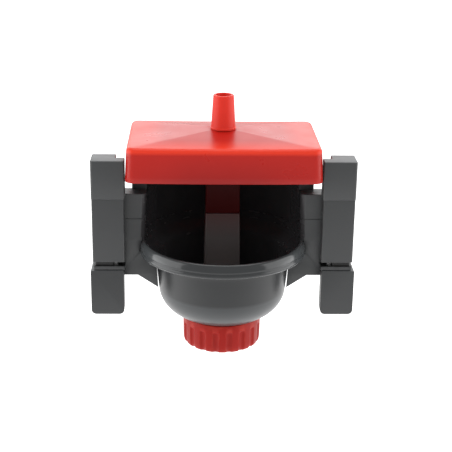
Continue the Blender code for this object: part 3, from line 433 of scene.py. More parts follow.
def metal(name, colour, roughness):
    """Turned or stamped metal with fine tool lines and dull patches."""
    s = Shader(name)
    lines = s.noise(1.0, 3.0, 0.6, s.mapped((30, 30, 2200)))
    dull = s.span(s.noise(240.0, 4.0), 0.4, 0.7)
    base = s.mix(dull, colour, shade(colour, 0.72))
    brushed = s.span(lines, 0.3, 0.7, roughness - 0.08, roughness + 0.08)
    rough = s.math("ADD", brushed, s.math("MULTIPLY", dull, 0.12))
    s.set(Base_Color=base, Roughness=rough, Metallic=1.0, Normal=s.bump(lines, 0.35, 0.00002))


def foam_material(name, colour):
    """Closed-cell float foam: small pits in a pale skin."""
    s = Shader(name)
    cells = s.add("ShaderNodeTexVoronoi", Vector=s.place, Scale=900.0)
    pits = s.span(cells.outputs["Distance"], 0.0, 0.55)
    stain = s.span(s.noise(60.0, 4.0), 0.4, 0.7)
    base = s.mix(stain, colour, shade(colour, 0.86))
    base = s.mix(s.span(pits, 0.0, 0.4, 0.35, 0.0), base, shade(colour, 0.6))
    s.set(Base_Color=base, Roughness=s.span(pits, 0.0, 1.0, 0.9, 0.65), Normal=s.bump(pits, 0.6, 0.00012))


def rubber_material(name):
    """Dull black seal rubber with a bloom."""
    s = Shader(name)
    bloom = s.span(s.noise(120.0, 4.0), 0.42, 0.7)
    base = s.mix(bloom, (0.012, 0.012, 0.012), (0.03, 0.03, 0.031))
    rough = s.span(bloom, 0.0, 1.0, 0.62, 0.85)
    s.set(Base_Color=base, Roughness=rough, Normal=s.bump(s.noise(1800.0), 0.4, 0.00003))


def lid_painted_light(s, base):
    """A painted highlight along the skirt's top edge, and painted shade that makes it deeper red low in the
    middle.
    """
    height = s.along("Z")
    centred = s.span(s.math("ABSOLUTE", s.along("X"), 0.0), 20 * MM, 60 * MM, 1.0, 0.25)
    painted_shade_low = s.math("MULTIPLY", s.span(height, 55 * MM, 38 * MM), centred)
    # painted shade: a deeper red low in the middle of the skirt
    base = s.mix(s.math("MULTIPLY", painted_shade_low, 0.75), base, (0.3, 0.005, 0.004))
    band = s.math("MULTIPLY", s.span(height, 54.2 * MM, 56.2 * MM), s.span(height, 60.0 * MM, 58.0 * MM))
    # painted highlight: a brighter red band along the skirt's top edge
    return s.mix(s.math("MULTIPLY", band, 0.9), base, (0.84, 0.04, 0.012))


def dome_reflection_and_rim_tint(s, base):
    """The dome is a little paler than the wall above the crease, a painted reflection of the pale floor, and
    the rim is paler towards its ends.
    """
    height = s.along("Z")
    # painted reflection: the dome paler than the wall above the crease
    base = s.mix(s.span(height, -34.8 * MM, -36.8 * MM), base, (0.042, 0.0455, 0.048))
    outward = s.span(s.math("ABSOLUTE", s.along("X"), 0.0), 30 * MM, 47 * MM, 0.2, 0.8)
    rim = s.math("MULTIPLY", s.span(height, -13.0 * MM, -11.5 * MM), outward)
    return s.mix(rim, base, (0.075, 0.081, 0.084))


def bracket_painted_light_tint(s, base):
    """A deeper grey below the post's head, painted light that makes the faces looking up lighter, and painted
    shade, near black, in the groove between post and block.
    """
    height = s.along("Z")
    base = s.mix(s.span(height, 25.9 * MM, 25.4 * MM, 0.0, 0.8), base, (0.0345, 0.0362, 0.0376))
    below, above = s.span(height, -15.1 * MM, -15.6 * MM), s.span(height, -18.3 * MM, -17.9 * MM)
    groove = s.math("MULTIPLY", below, above)
    # painted light: faces that look up are lighter
    base = s.mix(s.math("MULTIPLY", s.span(s.upness(), 0.7, 0.95), 0.8), base, (0.105, 0.11, 0.114))
    # painted shade: near black in the groove between post and block
    return s.mix(groove, base, (0.003, 0.003, 0.003))


def tube_painted_light(s, base):
    """Painted red bounce light from the lid below the socket that fades downwards, and painted light that
    makes the lower end slightly paler.
    """
    height = s.along("Z")
    # painted light: the lower end paler
    base = s.mix(s.span(height, 0.0, -30 * MM, 0.0, 0.6), base, (0.105, 0.088, 0.086))
    # painted red bounce light from the lid, strongest just below the socket
    return s.mix(s.span(height, -7 * MM, 8.0 * MM, 0.0, 0.92), base, (0.052, 0.008, 0.007))


moulded(
    "lid_red", (0.49, 0.0115, 0.0062), 0.31, mottle=0.03, wear=0.1, wave=0.00002,
    worn=(0.85, 0.08, 0.04), dust=0.02, shine=0.33, tint=lid_painted_light)
moulded(
    "nozzle_red", (0.8, 0.034, 0.018), 0.38, mottle=0.03, wear=0.15, grain=0.000005, wave=0.00003,
    worn=(0.88, 0.1, 0.06), scratch=0.12, shine=0.25)
# socket_red is partly the socket's own dark red and partly painted shade: its red is darkened to stand in for
# the shade under the lid
moulded(
    "socket_red", (0.044, 0.0021, 0.0021), 0.55, mottle=0.1, wear=0.2, grain=0.000005, shine=0.12)
moulded(
    "cap_red", (0.33, 0.008, 0.004), 0.4, mottle=0.06, wear=0.25, grain=0.00001,
    worn=(0.6, 0.08, 0.05), scratch=0.12, shine=0.18)
# body_dark is the plastic's own dark grey with painted light added: it is set lighter than bracket_dark to
# make up for the shade on the recessed wings
moulded(
    "body_dark", (0.05, 0.0522, 0.0536), 0.42, mottle=0.06, wear=0.4, grain=0.00002, grain_scale=2400.0,
    wave=0.00002, worn=(0.1, 0.1, 0.1), dust=0.06, scratch=0.3, spread=0.03)
moulded(
    "bracket_dark", (0.0455, 0.0475, 0.049), 0.46, mottle=0.04, wear=0.5, grain=0.000009, grain_scale=2400.0,
    wave=0.00001, worn=(0.11, 0.11, 0.11), dust=0.2, scratch=0.1, spread=0.03, tint=bracket_painted_light_tint)
moulded(
    "bowl_gloss", (0.0135, 0.0148, 0.0158), 0.34, mottle=0.1, wear=0.15, grain=0.000003, grain_scale=900.0,
    wave=0.00008, worn=(0.05, 0.05, 0.05), scratch=0.2, shine=0.55, spread=0.04, tint=dome_reflection_and_rim_tint,
    crisp=(-17 * MM, -13 * MM, 1.0, 0.42))
moulded("hood_gloss", (0.038, 0.0365, 0.0385), 0.2, mottle=0.1, wear=0.0, wave=0.00003)
moulded(
    "valve_grey", (0.064, 0.054, 0.053), 0.36, mottle=0.1, wear=0.35, grain=0.00001, wave=0.00004,
    scratch=0.3, shine=0.4, tint=tube_painted_light)
rubber_material("rubber")
foam_material("float_foam", (0.75, 0.75, 0.71))
metal("steel", (0.62, 0.62, 0.61), 0.26)
metal("brass", (0.7, 0.5, 0.2), 0.3)


# ---- lid and nozzle ----

LID_HALF_WIDTH = 59.4 * MM
LID_FLARE = 0.9 * MM
LID_FRONT_Y = low("lid_cover").y + LID_FLARE
LID_BACK_Y = high("lid_cover").y - LID_FLARE
LID_HALF_DEPTH = (LID_BACK_Y - LID_FRONT_Y) / 2
LID_EDGE_Z = 58.5 * MM
LID_RISE = 4.2 * MM
LID_BOTTOM_Z = low("lid_cover").z
LID_CORNER = 5.5 * MM
LID_WALL = 1.8 * MM
LID_HOLE = 6.9 * MM


def lid_plan(inset):
    """Plan outline of the lid with evenly placed points, counter-clockwise from the front right corner."""
    x = LID_HALF_WIDTH - inset
    front = LID_FRONT_Y + inset
    back = LID_BACK_Y - inset
    corner = max(min(LID_CORNER, LID_CORNER - inset), 0.8 * MM)
    centres = ((x - corner, front + corner), (x - corner, back - corner),
               (corner - x, back - corner), (corner - x, front + corner))

    def on_corner(number, turn):
        angle = radians(90 * (number + turn) - 90)
        middle_x, middle_y = centres[number % 4]
        return Vector((middle_x + corner * cos(angle), middle_y + corner * sin(angle)))

    points = []
    for number in range(4):
        points += [on_corner(number, step / 8) for step in range(9)]
        begin, end = points[-1], on_corner(number + 1, 0)
        points += [begin.lerp(end, step / 16) for step in range(1, 16)]
    return points


def lid_sag(x, y):
    """The moulding dips slightly along its front and back edges."""
    inward = max(0.0, 1 - (x / LID_HALF_WIDTH) ** 2)
    return -0.45 * MM * inward * ((y - INLET.y) / LID_HALF_DEPTH) ** 2


def lid_section(inset, z):
    """The lid's outline at one level, with the edges' dip."""
    return [(p.x, p.y, z + lid_sag(p.x, p.y)) for p in lid_plan(inset)]


def lid_roof_section(edge_inset, edge_z, part):
    """A ring of the roof, from the hole (part 0) to the edge (part 1), on four planes that meet in hips."""
    ring = []
    for p in lid_plan(edge_inset):
        out = Vector((p.x, p.y - INLET.y))
        hole = out.normalized() * LID_HOLE
        reach = max(abs(hole.x) / LID_HALF_WIDTH, abs(hole.y) / LID_HALF_DEPTH)
        here = hole.lerp(out, part)
        down = reach + (1 - reach) * part
        x, y = here.x, here.y + INLET.y
        ring.append((x, y, edge_z + LID_RISE * (1 - down) + lid_sag(x, y) * part ** 2))
    return ring


def make_lid():
    """Roof, rounded edge and flared skirt outside, then back up the inside to the hole."""
    edge_round = 2.6 * MM
    inner_z = LID_EDGE_Z - LID_WALL
    sections = [lid_roof_section(edge_round, LID_EDGE_Z, step / 12) for step in range(13)]
    for step in range(1, 7):
        angle = pi / 2 * step / 6
        z = LID_EDGE_Z - edge_round * (1 - cos(angle))
        sections.append(lid_section(edge_round * (1 - sin(angle)), z))
    skirt_top = LID_EDGE_Z - edge_round
    skirt_bottom = LID_BOTTOM_Z + 0.3 * MM
    for step in range(1, 6):
        down = step / 5
        sections.append(lid_section(-LID_FLARE * down, skirt_top + (skirt_bottom - skirt_top) * down))
    sections += [
        lid_section(0.15 * MM - LID_FLARE, LID_BOTTOM_Z + 0.08 * MM),
        lid_section(0.4 * MM - LID_FLARE, LID_BOTTOM_Z),
        lid_section(LID_WALL - 0.3 * MM - LID_FLARE, LID_BOTTOM_Z),
        lid_section(LID_WALL - LID_FLARE, skirt_bottom),
        lid_section(LID_WALL, inner_z - 0.8 * MM),
        lid_section(LID_WALL + 0.9 * MM, inner_z),
    ]
    sections += [lid_roof_section(LID_WALL + 0.9 * MM, inner_z, 1 - step / 4) for step in range(1, 5)]
    shape = skin(sections, tube=True)
    finish("lid_shell", shape, "lid", "lid_red", ["lid_cover"], smooth=50)


def make_nozzle():
    """The tapered hose nozzle, its base ring on the roof and its shank through the hole."""
    tip_radius, base_radius, ring, shank, bore = (v * MM for v in (6.45, 7.75, 8.0, 6.2, 4.75))
    ring_bottom = LID_EDGE_Z + LID_RISE * (1 - shank / LID_HALF_WIDTH)
    ring_top = ring_bottom + 0.9 * MM
    tip = high("inlet_nozzle").z
    foot = low("inlet_nozzle").z
    profile = fillet([
        (bore, tip, 0.55 * MM),
        (tip_radius, tip, 0.75 * MM),
        (base_radius, ring_top, 0.6 * MM),
        (ring, ring_top, 0.15 * MM),
        (ring, ring_bottom, 0),
        (shank, ring_bottom, 0),
        (shank, foot, 0.4 * MM),
        (bore - 0.6 * MM, foot, 0.3 * MM),
        (bore - 0.6 * MM, ring_top + 4 * MM, 0),
    ], 4)
    finish("hose_nozzle", turned(profile, INLET, 96), "lid", "nozzle_red", ["inlet_nozzle"])


# ---- valve column ----

SOCKET_TOP_HALF = 10.5 * MM
SOCKET_BOTTOM_HALF = 10.9 * MM
SOCKET_BORE = 8.3 * MM
SOCKET_THROAT = 6.5 * MM
SOCKET_DEPTH = 30 * MM
TUBE_TOP_HALF = 11.0 * MM
TUBE_BOTTOM_HALF = 11.8 * MM
TUBE_BORE = 5.6 * MM
TUBE_FOOT_BORE = 7.4 * MM
TUBE_FOOT_DEPTH = 6 * MM
SPIGOT_RADIUS = 8.0 * MM


def column_sections(levels):
    """Level squares with rounded corners round the inlet's axis, from (half width, z) pairs."""
    corner = 1.3 * MM
    signs = ((1, -1), (1, 1), (-1, 1), (-1, -1))
    sections = []
    for half, z in levels:
        outline = fillet([(half * right, INLET.y + half * back, corner) for right, back in signs], 6)
        sections.append([(x, y, z) for x, y in outline])
    return sections


def round_sections(levels):
    """Level circles round the inlet's axis, one point for each point of a column section."""
    count = len(column_sections([levels[0]])[0])
    step = 2 * pi / count
    angles = [-pi / 4 + step * (index - 3) for index in range(count)]
    return [[(radius * cos(a), INLET.y + radius * sin(a), z) for a in angles] for radius, z in levels]


def make_column():
    """The lid's square socket and the square tube below it; both have round bores."""
    top = high("valve_socket").z
    bottom = low("valve_socket").z
    edge = 0.35 * MM
    ease = 0.1 * MM
    sections = column_sections([
        (SOCKET_TOP_HALF - edge, top), (SOCKET_TOP_HALF - ease, top - ease), (SOCKET_TOP_HALF, top - edge),
        (SOCKET_BOTTOM_HALF, bottom + edge), (SOCKET_BOTTOM_HALF - ease, bottom + ease),
        (SOCKET_BOTTOM_HALF - edge, bottom),
    ])
    sections += round_sections([
        (SOCKET_BORE, bottom), (SOCKET_BORE, bottom + SOCKET_DEPTH),
        (SOCKET_THROAT, bottom + SOCKET_DEPTH), (SOCKET_THROAT, top),
    ])
    finish("column_socket", skin(sections, tube=True), "lid", "socket_red", ["valve_socket"])
    shoulder = bottom - 0.3 * MM
    top = high("valve_tube").z
    bottom = low("valve_tube").z
    sections = round_sections([
        (TUBE_BORE, bottom + TUBE_FOOT_DEPTH), (TUBE_BORE, top - 0.3 * MM), (TUBE_BORE + 0.3 * MM, top),
        (SPIGOT_RADIUS - 0.4 * MM, top), (SPIGOT_RADIUS, top - 0.4 * MM), (SPIGOT_RADIUS, shoulder),
    ])
    sections += column_sections([
        (TUBE_TOP_HALF - edge, shoulder), (TUBE_TOP_HALF - ease, shoulder - ease),
        (TUBE_TOP_HALF, shoulder - edge), (TUBE_BOTTOM_HALF, bottom + ease),
        (TUBE_BOTTOM_HALF - ease, bottom),
    ])
    sections += round_sections([(TUBE_FOOT_BORE, bottom), (TUBE_FOOT_BORE, bottom + TUBE_FOOT_DEPTH)])
    finish("column_tube", skin(sections, tube=True), "lid", "valve_grey", ["valve_tube"])


def make_float():
    """The foam float with rounded edges, a mould line and recesses for its screw's head and nut."""
    radius = (high("float_body").x - low("float_body").x) / 2
    top, bottom = high("float_body").z, low("float_body").z
    seam = bottom + 7 * MM
    recess, hole = 3.1 * MM, 1.7 * MM
    profile = fillet([
        (recess, top, 0.3 * MM),
        (radius, top, 2.2 * MM),
        (radius, seam + 0.3 * MM, 0.1 * MM),
        (radius - 0.25 * MM, seam, 0),
        (radius, seam - 0.3 * MM, 0.1 * MM),
        (radius, bottom + 4.4 * MM, 3.0 * MM),
        (radius - 4.4 * MM, bottom, 1.5 * MM),
        (recess, bottom, 0),
        (recess, bottom + 2 * MM, 0),
        (hole, bottom + 2 * MM, 0),
        (hole, top - 1.4 * MM, 0),
        (recess, top - 1.4 * MM, 0),
    ], 3)
    finish("float_puck", turned(profile, centre("float_body"), 80), "float", "float_foam", ["float_body"])


# ---- body ----

def across(radius, y):
    """Half width of a circle round the bowl's axis at a depth y."""
    return sqrt(radius ** 2 - (y - BOWL_AXIS.y) ** 2)


def hood_radius(z):
    """Inner radius of the hood, a little wider towards the bowl."""
    below = share(z, LEDGE_Z, HOOD_BOTTOM_Z)
    return HOOD_TOP_RADIUS + (HOOD_BOTTOM_RADIUS - HOOD_TOP_RADIUS) * below


def hood_plan(z, front_y):
    """One level section of the wings and the hood between them, with rounded mouth edges."""
    inner = hood_radius(z)
    outer = inner + HOOD_WALL
    corner = 0.3 * MM
    start = radians(4)
    front = [(PLATE_HALF_WIDTH, front_y, corner), (across(inner, front_y), front_y, MOUTH_ROUND)]
    back = [(across(outer, PLATE_BACK_Y), PLATE_BACK_Y, 0), (PLATE_HALF_WIDTH, PLATE_BACK_Y, corner)]
    inside, outside = bowl_arc(inner, start, pi - start, 60), bowl_arc(outer, pi - start, start, 60)
    corners = front + inside + mirrored(front) + mirrored(back) + outside + back
    return [(x, y, z) for x, y in fillet(corners, 6)]


def make_hood():
    """Wings and hood in one moulding; the upper panels stand slightly proud."""
    pad_y = PLATE_FRONT_Y - PAD_PROUD
    groove_y = PLATE_FRONT_Y + 0.35 * MM
    levels = (
        (HOOD_BOTTOM_Z, PLATE_FRONT_Y), (4 * MM, PLATE_FRONT_Y), (PAD_BOTTOM_Z - 0.9 * MM, PLATE_FRONT_Y),
        (PAD_BOTTOM_Z - 0.8 * MM, groove_y), (PAD_BOTTOM_Z - 0.02 * MM, groove_y),
        (PAD_BOTTOM_Z, pad_y + 0.12 * MM), (PAD_BOTTOM_Z + 0.15 * MM, pad_y), (18 * MM, pad_y),
        (LEDGE_Z - 0.3 * MM, pad_y), (LEDGE_Z, pad_y + 0.3 * MM),
    )
    shape = skin([hood_plan(z, front_y) for z, front_y in levels])
    hood = finish("hood_shell", shape, "base", "body_dark", ["body_shell"], smooth=30)
    polish_inside(hood, HOOD_TOP_RADIUS + 5 * MM)


def polish_inside(piece, reach):
    """Give the faces that look at the bowl's axis the glossy black of the hood's inside."""
    piece.data.materials.append(LOOKS["hood_gloss"])
    for face in piece.data.polygons:
        out = face.center - BOWL_AXIS
        out.z = 0
        if out.length < reach and face.normal.dot(out.normalized()) < -0.25:
            face.material_index = 1


def wing_skirt(side):
    """The wing's plate below the hood; its inner edge follows the bowl's rim and wall at each depth."""
    edge = 0.25 * MM
    levels = (
        (PLATE_FRONT_Y, edge), (PLATE_FRONT_Y + 0.07 * MM, edge * 0.4), (PLATE_FRONT_Y + edge, 0),
        (PLATE_BACK_Y - edge, 0), (PLATE_BACK_Y, edge),
    )
    rim_fit = (
        (44.6, -1.7), (46.8, -0.8), (49.4, -0.3), (51.7, -0.15), (52.45, 0.2), (52.78, 0.7), (52.9, 1.3),
        (52.9, 1.8), (52.38, 2.9), (52.3, 4.3), (51.7, 6.9),
    )
    sections = []
    for y, inset in levels:
        tip_x = across(wall_radius(-33 * MM) + 0.42 * MM + inset, y)
        bottom = WING_BOTTOM_Z + inset
        outline = [
            (PLATE_HALF_WIDTH - inset, THROAT_Z),
            (PLATE_HALF_WIDTH - inset, bottom),
            (WING_SLOPE_X, bottom),
            (tip_x, bottom - (WING_SLOPE_X - tip_x) * tan(WING_SLOPE)),
            (across(wall_radius(-26 * MM) + 0.3 * MM + inset, y), -26 * MM),
            (across(wall_radius(-20 * MM) + 0.12 * MM + inset, y), -20 * MM),
            (across(WALL_TOP_RADIUS + 0.08 * MM + inset, y), WALL_TOP_Z - 0.8 * MM),
        ]
        outline += [(across(radius * MM + inset, y), RIM_BOTTOM_Z + up * MM) for radius, up in rim_fit]
        outline.append((across(51.0 * MM + inset, y), THROAT_Z))
        sections.append([(side * x, y, z) for x, z in outline])
    return skin(sections)


def make_throat(side, label):
    """The wing's inner end just above the rim, with the mouth's rounding."""
    outline = fillet([
        (side * PLATE_HALF_WIDTH, PLATE_FRONT_Y, 0),
        (side * PLATE_HALF_WIDTH, PLATE_BACK_Y, 0),
        (side * across(HOOD_BOTTOM_RADIUS, PLATE_BACK_Y), PLATE_BACK_Y + 4 * MM, 0),
        (side * across(HOOD_BOTTOM_RADIUS, PLATE_FRONT_Y), PLATE_FRONT_Y, MOUTH_ROUND),
    ], 8)
    throat = finish(f"wing_throat_{label}", prism(outline, "Z", THROAT_Z, HOOD_BOTTOM_Z), "base", "body_dark")
    polish_inside(throat, HOOD_TOP_RADIUS + 5 * MM)


def wall_radius(z):
    """Outer radius of the bowl's slightly tapered wall."""
    part = share(z, WALL_TOP_Z, CREASE_Z)
    return WALL_TOP_RADIUS + (CREASE_RADIUS - WALL_TOP_RADIUS) * part


def make_wings():
    """On each side: the plate below the hood, its throat, a stiffening web behind and the ledge on top."""
    web_top, web_bottom = PAD_BOTTOM_Z + 6 * MM, WING_BOTTOM_Z + 8 * MM
    web_x, web_back_y = 54 * MM, 12 * MM
    for side, label in ((-1, "left"), (1, "right")):
        finish(f"wing_plate_{label}", wing_skirt(side), "base", "body_dark")
        make_throat(side, label)
        web = prism([
            (PLATE_BACK_Y - MM, web_top),
            (PLATE_BACK_Y - MM, web_bottom),
            (PLATE_BACK_Y + MM, web_bottom),
            (web_back_y, 4 * MM),
            (web_back_y, web_top),
        ], "X", side * web_x - MM, side * web_x + MM)
        finish(f"wing_web_{label}", web, "base", "body_dark", bevel=0.3 * MM)
        ledge = prism(ledge_plan(side), "Z", LEDGE_Z - 2.5 * MM, LEDGE_Z - 0.06 * MM)
        finish(f"wing_ledge_{label}", ledge, "base", "body_dark", bevel=0.3 * MM)


def ledge_plan(side):
    """The shelf that closes a wing's top between its plate and the collar."""
    front = PLATE_FRONT_Y + 1.2 * MM
    back = COLLAR_FRONT_Y + HOOD_WALL
    outer_x = side * (PLATE_HALF_WIDTH - 0.1 * MM)
    points = [(outer_x, front), (outer_x, back)]
    for index in range(7):
        y = back + (front - back) * index / 6
        points.append((side * across(HOOD_TOP_RADIUS + MM, y), y))
    return points


def collar_outside():
    """The collar's outer corners, from one side of the mouth round the back to the other."""
    right = [
        (across(HOOD_TOP_RADIUS, COLLAR_FRONT_Y), COLLAR_FRONT_Y, 0.5 * MM),
        (COLLAR_HALF_WIDTH, COLLAR_FRONT_Y, 1.5 * MM),
        (COLLAR_HALF_WIDTH, COLLAR_BACK_Y, 6 * MM),
    ]
    return right + mirrored(right)


def collar_top_plan():
    """The collar's top: a rounded rectangle with the hood's round bite."""
    corners = collar_outside()
    start = atan2(COLLAR_FRONT_Y - BOWL_AXIS.y, corners[0][0]) + radians(3)
    return fillet(corners + bowl_arc(HOOD_TOP_RADIUS, pi - start, start, 48), 6)


def collar_wall_plan():
    """The collar's wall: the same outside, and an inside one wall's thickness in."""
    outside = collar_outside()
    inner_x = COLLAR_HALF_WIDTH - HOOD_WALL
    inner_front = COLLAR_FRONT_Y + HOOD_WALL
    left = [
        (outside[-1][0], inner_front, 0.3 * MM),
        (-inner_x, inner_front, 0.3 * MM),
        (-inner_x, COLLAR_BACK_Y - HOOD_WALL, 3.4 * MM),
    ]
    return fillet(outside + left + mirrored(left), 6)


def make_collar():
    """The box under the lid, the hood's wall inside it, the lip above the rim and the screw bosses."""
    wall = prism(collar_wall_plan(), "Z", LEDGE_Z - 2.5 * MM, COLLAR_TOP_Z - MM)
    finish("collar_wall", wall, "base", "body_dark", bevel=0.25 * MM)
    top = prism(collar_top_plan(), "Z", COLLAR_TOP_Z - HOOD_WALL, COLLAR_TOP_Z)
    finish("collar_top", top, "base", "body_dark", bevel=0.4 * MM)
    wall_top = COLLAR_TOP_Z - 1.2 * MM
    upper_wall = [
        (HOOD_TOP_RADIUS, LEDGE_Z),
        (HOOD_TOP_RADIUS + 0.05 * MM, wall_top),
        (HOOD_TOP_RADIUS + HOOD_WALL, wall_top),
        (HOOD_TOP_RADIUS + HOOD_WALL, LEDGE_Z),
    ]
    apron = [
        (48.42 * MM, RIM_TOP_Z - 1.8 * MM),
        (48.42 * MM, RIM_TOP_Z + 0.6 * MM),
        (48.8 * MM, HOOD_BOTTOM_Z + 0.8 * MM),
        (49.7 * MM, HOOD_BOTTOM_Z + 0.8 * MM),
        (49.2 * MM, RIM_TOP_Z + 0.3 * MM),
        (48.56 * MM, RIM_TOP_Z + 0.1 * MM),
        (48.56 * MM, RIM_TOP_Z - 1.8 * MM),
    ]
    for name, profile, start in (
            ("hood_upper_wall", upper_wall, radians(6)), ("hood_apron", apron, radians(1))):
        finish(name, swept_back(profile, start), "base", "body_dark", look="hood_gloss")
    boss_bottom, boss_top = LUG_TOP_Z + 0.3 * MM, 9 * MM
    bosses = lug_ring([
        (1.5 * MM, boss_bottom, 0.2 * MM),
        (LUG_RADIUS, boss_bottom, 0.3 * MM),
        (LUG_RADIUS - 0.2 * MM, boss_top, MM),
        (1.5 * MM, boss_top, 0),
    ])
    finish("screw_bosses", bosses, "base", "body_dark")


# ---- bowl, gasket and drain ----

def dome_z(radius):
    """Height of the bowl's underside at a radius."""
    part = (radius - OUTLET_RADIUS) / (CREASE_RADIUS - OUTLET_RADIUS)
    return CREASE_Z - DOME_DEPTH * sqrt(max(0.0, 1 - part ** 2))


def dome_arc(inset):
    """The bowl's bottom from the crease in to the outlet, as (radius, z)."""
    steps = 30
    points = []
    for step in range(steps + 1):
        angle = pi / 2 * step / steps
        radius = OUTLET_RADIUS + (CREASE_RADIUS - inset - OUTLET_RADIUS) * cos(angle)
        points.append((radius, CREASE_Z - (DOME_DEPTH - inset) * sin(angle)))
    return points


def bowl_profile():
    """Rolled rim, concave undercut, tapered wall, crease, dome and outlet, then back up the inside."""
    thick = 2.0 * MM
    rim = [
        (48.65, -5.6), (48.6, -4.9), (48.75, -4.35), (49.2, -4.0), (49.8, -3.9), (50.4, -3.98),
        (50.9, -4.3), (51.3, -4.8), (51.65, -5.5), (51.92, -6.4), (52.12, -7.3), (52.28, -8.1),
        (52.34, -8.6), (52.22, -8.95), (52.2, -9.25), (52.36, -9.55), (52.6, -9.8),
        (52.8, -10.25), (52.88, -10.8), (52.84, -11.35), (52.65, -11.85), (52.25, -12.25),
        (51.6, -12.45), (50.7, -12.55), (49.4, -12.6), (48.0, -12.75), (46.6, -13.05),
        (45.2, -13.5), (44.0, -14.1), (43.1, -14.8), (42.6, -15.6), (42.3, -16.5),
    ]
    points = [(radius * MM, z * MM) for radius, z in rim]
    start_z = points[-1][1]
    for step in range(1, 9):
        z = start_z + (CREASE_Z + 0.4 * MM - start_z) * step / 8
        points.append((wall_radius(z), z))
    arc = dome_arc(0)
    points += [(radius - 0.12 * MM, z) for radius, z in arc[1:-1]] + [arc[-1]]
    points += [
        (OUTLET_RADIUS, OUTLET_BOTTOM_Z + 0.4 * MM),
        (OUTLET_RADIUS - 0.4 * MM, OUTLET_BOTTOM_Z),
        (OUTLET_BORE + 0.3 * MM, OUTLET_BOTTOM_Z),
        (OUTLET_BORE, OUTLET_BOTTOM_Z + 0.3 * MM),
        (OUTLET_BORE, CREASE_Z - DOME_DEPTH + thick - 0.6 * MM),
        (OUTLET_BORE + 0.6 * MM, CREASE_Z - DOME_DEPTH + thick),
    ]
    points += reversed(dome_arc(thick))
    inside = WALL_TOP_RADIUS - thick
    points += [
        (inside, RIM_BOTTOM_Z - 3 * MM),
        (inside + 0.4 * MM, RIM_BOTTOM_Z - 1.2 * MM),
        (inside + 1.6 * MM, RIM_BOTTOM_Z + 0.6 * MM),
        (inside + 4.0 * MM, RIM_BOTTOM_Z + 2.6 * MM),
        (47.2 * MM, RIM_BOTTOM_Z + 4.6 * MM),
        (48.2 * MM, RIM_BOTTOM_Z + 5.8 * MM),
    ]
    return points


def make_bowl():
    """The bowl in one turned shape, and the four lugs under the hood's bosses."""
    shape = turned(bowl_profile(), BOWL_AXIS, 192)
    bowl = finish("bowl_shell", shape, "base", "bowl_gloss", ["bowl"], smooth=40)
    polish_inside(bowl, RIM_OUTER_RADIUS)
    lug_bottom = LUG_TOP_Z - 4 * MM
    lugs = lug_ring([
        (1.7 * MM, LUG_TOP_Z, 0.2 * MM),
        (1.7 * MM, lug_bottom, 0.2 * MM),
        (LUG_RADIUS, lug_bottom, 0.6 * MM),
        (LUG_RADIUS, LUG_TOP_Z, 0.6 * MM),
    ])
    finish("bowl_lugs", lugs, "base", "bowl_gloss")


CAP_RADIUS = high("drain_cap").x
CAP_BOTTOM_Z = low("drain_cap").z
FLUTES = 18


def flute(angle):
    """Depth of the scallops round the cap, 0 on the lands and 1 in a groove's middle."""
    return max(0.0, cos(FLUTES * angle)) ** 0.8


def make_cap():
    """The fluted cap with a threaded collar inside, from (radius, z, share of the flutes' depth)."""
    wall = 2.6 * MM
    floor_z = CAP_BOTTOM_Z + 2.5 * MM
    inner = CAP_RADIUS - wall
    thread = OUTLET_RADIUS + 0.35 * MM
    collar = thread + 2.4 * MM
    collar_top = floor_z + 7 * MM
    top = dome_z(CAP_RADIUS) - 0.4 * MM
    inner_top = dome_z(inner) - 0.4 * MM
    flute_top = CAP_BOTTOM_Z + 14.3 * MM
    flute_depth = 1.05 * MM
    rings = [
        (inner, inner_top, 0),
        (CAP_RADIUS - 0.5 * MM, top - 0.02 * MM, 0),
        (CAP_RADIUS - 0.15 * MM, top - 0.15 * MM, 0),
        (CAP_RADIUS, top - 0.5 * MM, 0),
        (CAP_RADIUS, flute_top + 0.3 * MM, 0),
        (CAP_RADIUS, flute_top, 0.25),
        (CAP_RADIUS, flute_top - 0.4 * MM, 0.65),
        (CAP_RADIUS, flute_top - 0.9 * MM, 0.92),
        (CAP_RADIUS, flute_top - 1.6 * MM, 1.0),
    ]
    foot = (
        (0.1, 5, 1.0), (0.25, 2.6, 1.0), (0.6, 1.4, 1.0), (1.2, 0.55, 0.95),
        (2.0, 0.12, 0.8), (3.0, 0, 0.4), (4.5, 0, 0), (5.0, 0.5, 0),
    )
    rings += [(CAP_RADIUS - inward * MM, CAP_BOTTOM_Z + up * MM, part) for inward, up, part in foot]
    rings += [
        (7 * MM, CAP_BOTTOM_Z + 0.6 * MM, 0),
        (5 * MM, CAP_BOTTOM_Z + 0.5 * MM, 0),
        (0.5 * MM, CAP_BOTTOM_Z + 0.5 * MM, 0),
        (0.5 * MM, floor_z, 0),
        (thread, floor_z, 0),
        (thread, collar_top, 0),
        (collar, collar_top, 0),
        (collar, floor_z, 0),
        (inner, floor_z, 0),
    ]
    count = FLUTES * 20
    sections = []
    for radius, z, part in rings:
        ring = []
        for index in range(count):
            angle = 2 * pi * index / count
            reach = radius - flute_depth * part * flute(angle)
            ring.append((reach * cos(angle), BOWL_AXIS.y + reach * sin(angle), z))
        sections.append(ring)
    shape = skin(sections, tube=True)
    finish("drain_cap_shell", shape, "drain_cap", "cap_red", ["drain_cap"], smooth=60)


# ---- brackets ----

POST_INNER_X = 60.6 * MM
POST_NOTCH_X = 66.3 * MM
POST_OUTER_X = 81.2 * MM
POST_FRONT_Y = low("bracket_post_right").y
POST_NOTCH_Y = -8.3 * MM
POST_TOP_Z = high("bracket_post_right").z
POST_HEAD_BOTTOM_Z = 25.7 * MM
POST_BOTTOM_Z = -15.4 * MM
BLOCK_OUTER_X = high("clamp_block_right").x
BLOCK_BOTTOM_Z = low("clamp_block_right").z
BLOCK_TOP_Z = -20.8 * MM
TONGUE_INSET = 1.8 * MM
NECK_TOP_Z = high("clamp_block_right").z


